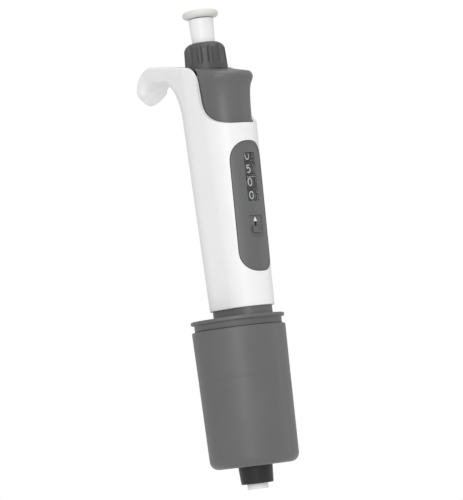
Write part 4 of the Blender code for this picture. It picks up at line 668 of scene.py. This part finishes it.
def merged(name, pieces):
    """One object from several, with their meshes laid end to end."""
    points, faces, first = [], [], 0
    for piece in pieces:
        count = len(piece.data.vertices)
        flat = np.empty(count * 3)
        piece.data.vertices.foreach_get("co", flat)
        points.append(flat.reshape(-1, 3))
        faces += [tuple(v + first for v in polygon.vertices) for polygon in piece.data.polygons]
        first += count
        bpy.data.meshes.remove(piece.data)
    mesh = bpy.data.meshes.new(name)
    mesh.from_pydata(np.vstack(points).tolist(), [], faces)
    return finished(bpy.data.objects.new(name, mesh))


def drum_figures(name, drum, figures, shown):
    """White figures round a drum. The shown one faces the window, and the next comes from the right."""
    low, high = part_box(drum)
    at = ((low[0] + high[0]) / 2, (low[1] + high[1]) / 2)
    z = high[2] - 2.45 * MM
    ribbons = []
    for place, figure in enumerate(figures):
        turn = -math.pi / 2 + TAU / 10 * ((place - shown) % 10)
        for stroke in STROKES[figure]:
            grid = figure_ribbon(
                stroke_path(stroke), looks().figure_height, 0.55 * MM, 8.8 * MM, turn, at, z)
            ribbons.append(skin(name + "_stroke", grid))
    return merged(name, ribbons)


def coil(name, radius, wire, low, high, turns, at=(0.0, 0.0)):
    """A wire carried round a helix, with a closed turn at each end."""
    steps = turns * 28
    share = np.linspace(0, 1, steps)
    turn = share * turns * TAU
    rise = np.interp(share * turns, [0, 1, turns - 1, turns], [0, 0.06, 0.94, 1.0])
    z = low + wire + (high - low - 2 * wire) * rise
    round_wire = np.arange(10) / 10 * TAU
    out = radius + wire * np.cos(round_wire)
    grid = np.stack([
        at[0] + out * np.cos(turn)[:, None], at[1] + out * np.sin(turn)[:, None],
        z[:, None] + wire * np.sin(round_wire) + 0 * out,
    ], -1)
    return skin(name, grid)


# Finishes


def node(tree, kind, inputs, **settings):
    """A node with its settings. An input, by name or number, gets a value, or a link from an output."""
    made = tree.nodes.new(kind)
    for key, value in settings.items():
        setattr(made, key, value)
    for key, value in inputs.items():
        if isinstance(value, bpy.types.NodeSocket):
            tree.links.new(value, made.inputs[key])
        else:
            made.inputs[key].default_value = value
    return made


def effect_group(name, **values):
    """An empty effect with its named inputs. It puts out a colour, a roughness and a normal. Returned are
    the group, what the inputs give, and the place on the object."""
    group = bpy.data.node_groups.new(name, "ShaderNodeTree")
    for key, value in {"Color": (0.5, 0.5, 0.5, 1), "Roughness": 0.4, **values}.items():
        kind = "NodeSocketColor" if key == "Color" else "NodeSocketFloat"
        made = group.interface.new_socket(name=key.replace("_", " "), in_out="INPUT", socket_type=kind)
        made.default_value = value
    for key, kind in (("Color", "Color"), ("Roughness", "Float"), ("Normal", "Vector")):
        group.interface.new_socket(name=key, in_out="OUTPUT", socket_type="NodeSocket" + kind)
    given = node(group, "NodeGroupInput", {}).outputs
    return group, given, node(group, "ShaderNodeTexCoord", {}).outputs["Object"]


def moulded_group():
    """Moulding grain: a fine noise lifts the surface, and a wide one shifts colour and gloss a little."""
    group, given, place = effect_group(
        "Moulded surface", Grain_size=2500.0, Grain_depth=0.2, Variation=0.03)
    fine = node(group, "ShaderNodeTexNoise", {"Vector": place, "Scale": given["Grain size"], "Detail": 4.0})
    wide = node(group, "ShaderNodeTexNoise", {"Vector": place, "Scale": 45.0, "Detail": 5.0})
    bump = node(group, "ShaderNodeBump", {
        "Distance": 0.00004, "Strength": given["Grain depth"], "Height": fine.outputs["Fac"],
    })
    span = node(group, "ShaderNodeMapRange", {
        "Value": wide.outputs["Fac"], "From Min": 0.3, "From Max": 0.7, "To Min": -1.0, "To Max": 1.0,
    })
    amount = node(group, "ShaderNodeMath", {0: span.outputs["Result"], 1: given["Variation"]},
                  operation="MULTIPLY")
    value = node(group, "ShaderNodeMath", {0: amount.outputs[0], 1: 1.0}, operation="ADD")
    shade = node(group, "ShaderNodeVectorMath", {0: given["Color"], "Scale": value.outputs[0]},
                 operation="SCALE")
    gloss = node(group, "ShaderNodeMath", {0: amount.outputs[0], 1: 1.2, 2: given["Roughness"]},
                 operation="MULTIPLY_ADD")
    node(group, "NodeGroupOutput", {
        "Color": shade.outputs[0], "Roughness": gloss.outputs[0], "Normal": bump.outputs["Normal"],
    })
    return group


def turned_group():
    """Tool marks of turned metal: noise squeezed along the axis, so that it makes rings."""
    group, given, place = effect_group("Turned surface", Ring_depth=0.3)
    squeeze = node(group, "ShaderNodeMapping", {"Vector": place, "Scale": (40.0, 40.0, 6000.0)})
    rings = node(group, "ShaderNodeTexNoise", {
        "Vector": squeeze.outputs["Vector"], "Scale": 1.0, "Detail": 3.0,
    })
    bump = node(group, "ShaderNodeBump", {
        "Distance": 0.00003, "Strength": given["Ring depth"], "Height": rings.outputs["Fac"],
    })
    gloss = node(group, "ShaderNodeMath", {0: rings.outputs["Fac"], 1: 0.15, 2: given["Roughness"]},
                 operation="MULTIPLY_ADD")
    tone = node(group, "ShaderNodeMapRange", {"Value": rings.outputs["Fac"], "To Min": 0.88, "To Max": 1.08})
    shade = node(group, "ShaderNodeVectorMath", {0: given["Color"], "Scale": tone.outputs["Result"]},
                 operation="SCALE")
    node(group, "NodeGroupOutput", {
        "Color": shade.outputs[0], "Roughness": gloss.outputs[0], "Normal": bump.outputs["Normal"],
    })
    return group


def blank_material(name):
    """A new material, its node tree and its shader."""
    made = bpy.data.materials.new(name)
    made.use_nodes = True
    return made, made.node_tree, made.node_tree.nodes["Principled BSDF"]


def finish(name, effect, values, **sockets):
    """A Principled material fed by an effect group. sockets are constants on the shader itself."""
    old = bpy.data.materials.get(name)
    if old:
        return old
    made, tree, shader = blank_material(name)
    surface = bpy.data.node_groups.get(effect) or GROUPS[effect]()
    group = node(tree, "ShaderNodeGroup", {}, node_tree=surface)
    for key, value in values.items():
        group.inputs[key].default_value = value
    for key, target in (("Color", "Base Color"), ("Roughness", "Roughness"), ("Normal", "Normal")):
        tree.links.new(group.outputs[key], shader.inputs[target])
    for key, value in sockets.items():
        shader.inputs[key.replace("_", " ")].default_value = value
    return made


GROUPS = {"Moulded surface": moulded_group, "Turned surface": turned_group}


def moulded(name, colour, roughness, grain=0.2, size=2500.0, variation=0.03, **sockets):
    return finish(name, "Moulded surface", {
        "Color": (*colour, 1), "Roughness": roughness, "Grain depth": grain, "Grain size": size,
        "Variation": variation,
    }, **sockets)


def turned_metal(name, colour, roughness, depth=0.3):
    return finish(name, "Turned surface", {
        "Color": (*colour, 1), "Roughness": roughness, "Ring depth": depth,
    }, Metallic=1.0)


def white_plastic():
    return moulded("white grip plastic", looks().grip_white, 0.36, 0.10, 3200.0, 0.012)


def grey_plastic():
    return moulded("dark grey plastic", looks().dark_grey, 0.40, 0.22, 3000.0, 0.04)


def paint(piece, material):
    piece.data.materials.clear()
    piece.data.materials.append(material)
    return piece


def dress(piece, body, slot, material, *nodes):
    """Gives a piece its finish and its body, and hides the solids that it stands for. The record slot is not
    used.
    """
    paint(piece, material)
    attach(piece, body)
    if nodes:
        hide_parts(*nodes)
    return piece


class BuildPiece:
    """What every piece's operator shares."""

    bl_options = {"REGISTER", "UNDO"}


class PIPETTE_OT_grip(BuildPiece, bpy.types.Operator):
    """Build the white grip with its finger hook"""

    bl_idname = "pipette.grip"
    bl_label = "Grip and hook"

    def execute(self, context):
        dress(grip_shell(), "grip", "grip_white", white_plastic(), "handle_shell")
        return {"FINISHED"}


class PIPETTE_OT_button(BuildPiece, bpy.types.Operator):
    """Build the push button and its stem"""

    bl_idname = "pipette.button"
    bl_label = "Push button"

    def execute(self, context):
        low, high, wide = CAP_LOW[2], CAP_HIGH[2], CAP_HIGH[0]
        rim = arc((wide - 1.9 * MM, low + 1.9 * MM), (1.9 * MM, 1.9 * MM), -90, 88, 24)
        crown = np.linspace(wide - 1.9 * MM, 0, 12)[1:-1]
        top = np.stack([crown, high - (high - rim[-1, 1]) * (crown / (wide - 1.9 * MM)) ** 2], -1)
        profile = np.vstack([
            [(0, low + 2.2 * MM), (3.3 * MM, low + 2.2 * MM), (3.3 * MM, low)], rim, top, [(0, high)],
        ])
        cap = turned("button_cap", profile)
        material = moulded("warm white plastic", looks().button_white, 0.42, 0.15, 3000.0, 0.02)
        dress(cap, "plunger", "button_white", material, "push_button")
        top = low - 0.3 * MM
        profile = axis_profile([
            (0, 240.0 * MM), (2.8 * MM, 240.0 * MM), (2.8 * MM, STEM_LOW[2]), (5.9 * MM, STEM_LOW[2]),
            (5.9 * MM, 231.9 * MM), (6.5 * MM, top), (3.0 * MM, top), (3.0 * MM, low + 1.9 * MM),
            (0, low + 1.9 * MM),
        ], np.array([0, 0, 0, 0.3, 0, 0.5, 0, 0.2, 0]) * MM)
        dress(turned("stem_tube", profile), "plunger", "grip_white", white_plastic(), "button_stem")
        return {"FINISHED"}


class PIPETTE_OT_knob(BuildPiece, bpy.types.Operator):
    """Build the fluted volume knob"""

    bl_idname = "pipette.knob"
    bl_label = "Volume knob"

    def execute(self, context):
        shade = [0.60 * part for part in looks().dark_grey]
        dress(fluted_knob(), "knob", "dark_grey", moulded("knob plastic", shade, 0.48, 0.35, 2600.0, 0.05),
              "volume_knob")
        return {"FINISHED"}


class PIPETTE_OT_ejector(BuildPiece, bpy.types.Operator):
    """Build the thumb button, the collar and the big sleeve of the tip ejector"""

    bl_idname = "pipette.ejector"
    bl_label = "Tip ejector"

    def execute(self, context):
        dress(thumb_button(), "ejector", "dark_grey", grey_plastic(), "ejector_button")
        dress(collar(), "ejector", "dark_grey", grey_plastic(), "ejector_collar")
        dress(sleeve(), "ejector", "dark_grey", grey_plastic(), "ejector_sleeve")
        return {"FINISHED"}


def collar():
    """The flange and plug are turned, and the neck is the grip's lowest section carried up from them."""
    plug, groove, wide = 22.1 * MM, 22.6 * MM, COLLAR_HIGH[0]
    low, shelf, top = 83.3 * MM, 86.7 * MM, 88.9 * MM
    flange = turned("collar", rounded([
        (10.5 * MM, low), (20.9 * MM, low), (20.9 * MM, COLLAR_LOW[2]), (plug, COLLAR_LOW[2]), (plug, low),
        (groove, low), (groove, shelf), (wide, shelf), (wide, 88.5 * MM), (10.5 * MM, top),
    ], np.array([0, 0, 0.2, 0.2, 0, 0.2, 0.35, 0.45, 0.45, 0]) * MM, 5), 128)
    columns = section_columns()
    neck_top = COLLAR_HIGH[2]
    rows = np.array([86.0 * MM, neck_top - 0.3 * MM, neck_top])
    insets = np.array([1.4, 1.4, 1.7]) * MM
    base = HANDLE_LOW[2]
    outer = np.array([section(np.full(len(columns[0]), base), inset, columns) for inset in insets])
    neck = skin("neck", np.dstack([outer, np.repeat(rows[:, None], outer.shape[1], 1)]))
    inner = section(np.full(len(columns[0]), base), 2.9 * MM, columns)
    return carve(
        flange,
        ("UNION", neck),
        ("DIFFERENCE", prism("neck_hole", inner, 80 * MM, 110 * MM, "z")),
        ("UNION", turned("rod_boss", [(0, low), (2.6 * MM, low), (2.6 * MM, 96 * MM), (0, 96 * MM)], 32,
                         (0, ROD_Y))),
        ("DIFFERENCE", turned("tube_hole", [(0, 0.08), (8.2 * MM, 0.08), (8.2 * MM, 0.11), (0, 0.11)], 48)),
        ("DIFFERENCE", turned("rod_hole", [(0, 86.5 * MM), (1.6 * MM, 86.5 * MM), (1.6 * MM, 97 * MM),
                                           (0, 97 * MM)], 24, (0, ROD_Y))),
    )


def sleeve():
    """A turned cup with a small step at its mouth and a fine parting line round its middle."""
    low, high = SLEEVE_LOW[2], SLEEVE_HIGH[2]
    wide, narrow = SLEEVE_HIGH[0], 23.0 * MM
    line, deep = 57.5 * MM, 0.12 * MM

    def wall(z):
        return narrow + (wide - narrow) * (z - 16.5 * MM) / (high - 16.5 * MM)

    outline = [
        (wall(high) - 1.8 * MM, high), (wall(high) - 0.35 * MM, high), (wall(high), high - 0.35 * MM),
        (wall(line), line + 0.3 * MM), (wall(line) - deep, line), (wall(line), line - 0.3 * MM),
        (narrow, low), (9.4 * MM, low), (9.4 * MM, low + 2 * MM), (narrow - 1.8 * MM, low + 2 * MM),
    ]
    radii = np.array([0.2, 0.2, 0.2, 0.1, 0.1, 0.1, 4.6, 0.5, 0.3, 2.8]) * MM
    return turned("sleeve", rounded(outline, radii, 12), 160)


class PIPETTE_OT_display(BuildPiece, bpy.types.Operator):
    """Build the bezel, the window, the counter's figures and the lock"""

    bl_idname = "pipette.display"
    bl_label = "Display and lock"

    def execute(self, context):
        dress(display_panel(), "grip", "dark_grey", grey_plastic(), "display_bezel")
        white = moulded("figure paint", (0.85, 0.85, 0.84), 0.5, 0.1, 3000.0, 0.03)
        black = moulded("counter plastic", (0.012, 0.012, 0.013), 0.45, 0.3, 3000.0, 0.05)
        digits = list(range(10))
        evens = [0, 2, 4, 6, 8] * 2
        drums = [
            ("tens", "counter_tens", digits, 0), ("units", "counter_units", digits, 5),
            ("tenths", "counter_tenths", digits, 0), ("hundredths", "counter_drive", evens, 0),
        ]
        for name, body, figures, shown in drums:
            marks = drum_figures("figures_" + name, "drum_" + name, figures, shown)
            dress(marks, body, "filter_white", white)
            paint(frame["nodes"]["drum_" + name], black)
        pane = wall_patch("window_pane", LENS_HIGH[0] - LENS_LOW[0], LENS_LOW[2], LENS_HIGH[2],
                          0.25 * MM, 1.5 * MM, (40, 30))
        dress(pane, "grip", "lens", clear_plastic(), "window_lens")
        mark = wall_patch("decimal_line", 5.6 * MM, 158.2 * MM, 158.4 * MM, 1.56 * MM, 1.66 * MM, (30, 3))
        dress(mark, "grip", "filter_white", white)
        self.lock(white)
        return {"FINISHED"}

    def lock(self, white):
        low, high = GRIP_LOW, GRIP_HIGH
        outline = rounded(box_outline(high[0] - low[0], low[2], high[2]), 0.45 * MM)
        floor = recess_floor()
        tile = prism("lock_tile", outline, low[1], floor - 0.3 * MM, "y")
        stem = prism("lock_stem", rounded(box_outline(0.8 * MM, 129.9 * MM, 130.9 * MM), 0.2 * MM),
                     floor - 0.6 * MM, high[1], "y")
        dish = rounded(box_outline(4.2 * MM, low[2] + 0.6 * MM, high[2] - 0.6 * MM), 0.3 * MM)
        hollow = prism("tile_dish", dish, low[1] - MM, low[1] + 0.25 * MM, "y")
        carve(tile, ("UNION", stem), ("DIFFERENCE", hollow))
        dress(tile, "lock", "dark_grey", grey_plastic(), "lock_slider")
        points = rounded([(-1.15 * MM, 135.5 * MM), (1.15 * MM, 135.5 * MM), (0, 137.9 * MM)], 0.12 * MM)
        arrow = prism("lock_arrow", points, floor - 0.05 * MM, floor + 0.1 * MM, "y")
        dress(arrow, "grip", "filter_white", white)


def clear_plastic():
    made, tree, shader = blank_material("clear window")
    for key, value in (("Base Color", (0.93, 0.95, 0.95, 1)), ("Transmission Weight", 1.0), ("IOR", 1.45)):
        shader.inputs[key].default_value = value
    place = node(tree, "ShaderNodeTexCoord", {}).outputs["Object"]
    noise = node(tree, "ShaderNodeTexNoise", {"Vector": place, "Scale": 120.0})
    span = node(tree, "ShaderNodeMapRange", {"Value": noise.outputs["Fac"], "To Min": 0.02, "To Max": 0.08})
    tree.links.new(span.outputs["Result"], shader.inputs["Roughness"])
    return made


class PIPETTE_OT_nozzle(BuildPiece, bpy.types.Operator):
    """Build the tip cone and its filter"""

    bl_idname = "pipette.nozzle"
    bl_label = "Nozzle"

    def execute(self, context):
        low, high = CONE_LOW[2], CONE_HIGH[2]
        shelf = high - 2.4 * MM
        cone = turned("tip_cone", rounded([
            (5.7 * MM, low), (8.3 * MM, low), (8.9 * MM, 12.0 * MM), (8.9 * MM, shelf),
            (CONE_HIGH[0], shelf), (CONE_HIGH[0], high), (6.4 * MM, high), (6.4 * MM, high - 1.4 * MM),
            (4.0 * MM, high - 1.4 * MM), (4.0 * MM, high), (2.0 * MM, high), (2.0 * MM, 8.3 * MM),
            (5.7 * MM, 8.3 * MM),
        ], np.array([0.2, 0.7, 2.0, 0.3, 0.3, 0.3, 0, 0, 0, 0, 0, 0, 0]) * MM, 6), 96)
        screws = [np.array(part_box(f"nozzle_screw_{k}")).mean(0) for k in (1, 2, 3)]
        holes = [turned("screw_hole", [(0, 0.015), (1.2 * MM, 0.015), (1.2 * MM, 0.025), (0, 0.025)], 20,
                        tuple(middle[:2])) for middle in screws]
        carve(cone, *[("DIFFERENCE", hole) for hole in holes])
        black = moulded("black nozzle plastic", looks().nozzle_black, 0.38, 0.25, 2800.0, 0.06)
        dress(cone, "grip", "nozzle_black", black, "nozzle_cone")
        wide = FILTER_HIGH[0]
        outline = [(0, 0), (wide, 0), (wide, FILTER_HIGH[2]), (0, FILTER_HIGH[2])]
        plug = turned("filter_plug", axis_profile(outline, np.array([0, 0.35, 0.2, 0]) * MM), 64)
        porous = moulded("porous filter", (0.84, 0.84, 0.83), 0.8, 1.0, 1800.0, 0.03)
        dress(plug, "grip", "filter_white", porous, "nozzle_filter")
        return {"FINISHED"}


class PIPETTE_OT_inside(BuildPiece, bpy.types.Operator):
    """Build the springs and finish the solids that stay as they are"""

    bl_idname = "pipette.inside"
    bl_label = "Inside"

    def execute(self, context):
        steel = turned_metal("turned steel", (0.62, 0.63, 0.64), 0.24)
        wire = turned_metal("spring wire", (0.55, 0.56, 0.57), 0.2, 0.1)
        springs = (
            ("main_coil", "main_spring", 5.0, 0.55, 7, 0, "plunger_press", 0.68),
            ("blowout_coil", "blowout_spring", 3.4, 0.42, 5, 0, "plunger_press", 0.7),
            ("ejector_coil", "ejector_spring", 2.1, 0.33, 9, ROD_Y, "ejector_press", 0.61),
        )
        for name, solid, radius, thick, turns, y, joint, keep in springs:
            low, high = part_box(solid)
            spring = coil(name, radius * MM, thick * MM, low[2], high[2], turns, (0, y))
            dress(spring, "grip", "steel", wire, solid)
            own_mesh(spring)
        rubber = moulded("black rubber", (0.02, 0.02, 0.02), 0.7, 0.5, 2200.0, 0.08)
        acetal = moulded("acetal", (0.74, 0.74, 0.70), 0.38, 0.2, 2600.0, 0.03)
        grey = moulded("inner grey plastic", (0.42, 0.42, 0.43), 0.5, 0.3, 2600.0, 0.04)
        barrel = moulded("barrel grey plastic", (0.52, 0.52, 0.53), 0.45, 0.25, 2600.0, 0.04)
        bronze = turned_metal("sintered bronze", (0.50, 0.36, 0.17), 0.42, 0.6)
        finishes = {
            "steel": steel, "seal_rubber": rubber, "gear_acetal": acetal, "inner_grey": grey,
            "barrel_grey": barrel, "bush_bronze": bronze,
        }
        for entry in frame["record"]["subparts"]:
            material = finishes.get(entry["material_slot"])
            if material:
                paint(frame["nodes"][entry["node"]], material)
        return {"FINISHED"}


class PIPETTE_OT_stage(BuildPiece, bpy.types.Operator):
    """Build the floor, the lamps and the camera"""

    bl_idname = "pipette.stage"
    bl_label = "Stage"

    def execute(self, context):
        floor()
        world()
        lamp("key_lamp", (-1.35, -1.25, 0.75), (0, -0.005, 0.13), 0.9, 1.3, 13.0)
        lamp("side_lamp", (1.5, -0.85, 0.45), (0, -0.005, 0.12), 0.35, 1.3, 1.4)
        lamp("top_lamp", (0.15, -0.3, 1.5), (0, 0, 0.12), 0.9, 0.9, 6.0)
        camera()
        bpy.context.scene.view_settings.view_transform = "Standard"
        return {"FINISHED"}


def floor():
    x, y = np.meshgrid(np.linspace(-1.2, 1.2, 2), np.linspace(-1.2, 1.2, 2))
    mesh = bpy.data.meshes.new("floor")
    points = np.stack([x, y, np.full_like(x, -0.1)], -1).reshape(-1, 3)
    mesh.from_pydata(points.tolist(), [], [(0, 1, 3, 2)])
    plane = bpy.data.objects.new("floor", mesh)
    bpy.context.scene.collection.objects.link(plane)
    made, tree, shader = blank_material("pale floor")
    shader.inputs["Roughness"].default_value = 0.9
    place = node(tree, "ShaderNodeTexCoord", {}).outputs["Object"]
    noise = node(tree, "ShaderNodeTexNoise", {"Vector": place, "Scale": 8.0})
    tone = node(tree, "ShaderNodeMapRange", {"Value": noise.outputs["Fac"], "To Min": 0.86, "To Max": 0.9})
    tree.links.new(tone.outputs["Result"], shader.inputs["Base Color"])
    mesh.materials.append(made)


def world():
    """A plain studio: white to the camera and in glass, and softer as a light."""
    made = bpy.data.worlds.new("studio")
    made.use_nodes = True
    tree = made.node_tree
    ray = node(tree, "ShaderNodeLightPath", {}).outputs
    seen = node(tree, "ShaderNodeMath", {0: ray["Is Camera Ray"], 1: ray["Is Transmission Ray"]},
                operation="MAXIMUM")
    strength = node(tree, "ShaderNodeMapRange", {"Value": seen.outputs[0], "To Min": 0.62, "To Max": 1.0})
    background = tree.nodes["Background"]
    background.inputs["Color"].default_value = (1, 1, 1, 1)
    tree.links.new(strength.outputs["Result"], background.inputs["Strength"])
    bpy.context.scene.world = made


def aim(place, target):
    return (Vector(place) - Vector(target)).to_track_quat("Z", "Y").to_matrix().to_4x4()


def lamp(name, place, target, width, height, power):
    data = bpy.data.lights.new(name, "AREA")
    data.shape = "RECTANGLE"
    data.size, data.size_y = width, height
    data.energy = power
    made = bpy.data.objects.new(name, data)
    made.matrix_world = Matrix.Translation(place) @ aim(place, target)
    bpy.context.scene.collection.objects.link(made)


def camera():
    """The photograph's view: from the front left, a little below, and rolled so that the pipette leans
    left."""
    azimuth, elevation, roll = math.radians(-40), math.radians(-3.7), math.radians(7.0)
    away, metres_high = 1.6, 0.2576
    level = math.cos(elevation)
    back = Vector((math.sin(azimuth) * level, -math.cos(azimuth) * level, math.sin(elevation)))
    right = Vector((math.cos(azimuth), math.sin(azimuth), 0))
    up = back.cross(right)
    across = right * math.cos(roll) - up * math.sin(roll)
    upward = right * math.sin(roll) + up * math.cos(roll)
    target = Vector((0, 0, 0.1236)) + across * 0.0013
    data = bpy.data.cameras.new("photo_camera")
    data.lens = data.sensor_width * away / metres_high
    data.clip_start, data.clip_end = 0.05, 20
    made = bpy.data.objects.new("photo_camera", data)
    turn = Matrix((across, upward, back)).transposed().to_4x4()
    made.matrix_world = Matrix.Translation(target + back * away) @ turn
    bpy.context.scene.collection.objects.link(made)
    bpy.context.scene.camera = made


class PIPETTE_PT_looks(bpy.types.Panel):
    """Sizes, colours and builders of the pipette's looks"""

    bl_idname = "PIPETTE_PT_looks"
    bl_label = "Pipette"
    bl_space_type = "VIEW_3D"
    bl_region_type = "UI"
    bl_category = "Pipette"

    def draw(self, context):
        for key in PipetteLooks.__annotations__:
            self.layout.prop(context.scene.pipette_looks, key)
        for builder in BUILDERS:
            self.layout.operator(builder.bl_idname)


BUILDERS = (
    PIPETTE_OT_grip, PIPETTE_OT_button, PIPETTE_OT_knob, PIPETTE_OT_ejector, PIPETTE_OT_display,
    PIPETTE_OT_nozzle, PIPETTE_OT_inside, PIPETTE_OT_stage,
)


def register():
    for kind in (PipetteLooks, *BUILDERS, PIPETTE_PT_looks):
        bpy.utils.register_class(kind)
    bpy.types.Scene.pipette_looks = bpy.props.PointerProperty(type=PipetteLooks)


def unregister():
    del bpy.types.Scene.pipette_looks
    for kind in reversed((PipetteLooks, *BUILDERS, PIPETTE_PT_looks)):
        bpy.utils.unregister_class(kind)


def main():
    register()
    bpy.ops.pipette.grip()
    bpy.ops.pipette.button()
    bpy.ops.pipette.knob()
    bpy.ops.pipette.ejector()
    bpy.ops.pipette.display()
    bpy.ops.pipette.nozzle()
    bpy.ops.pipette.inside()
    bpy.ops.pipette.stage()


if __name__ == "__main__":
    main()
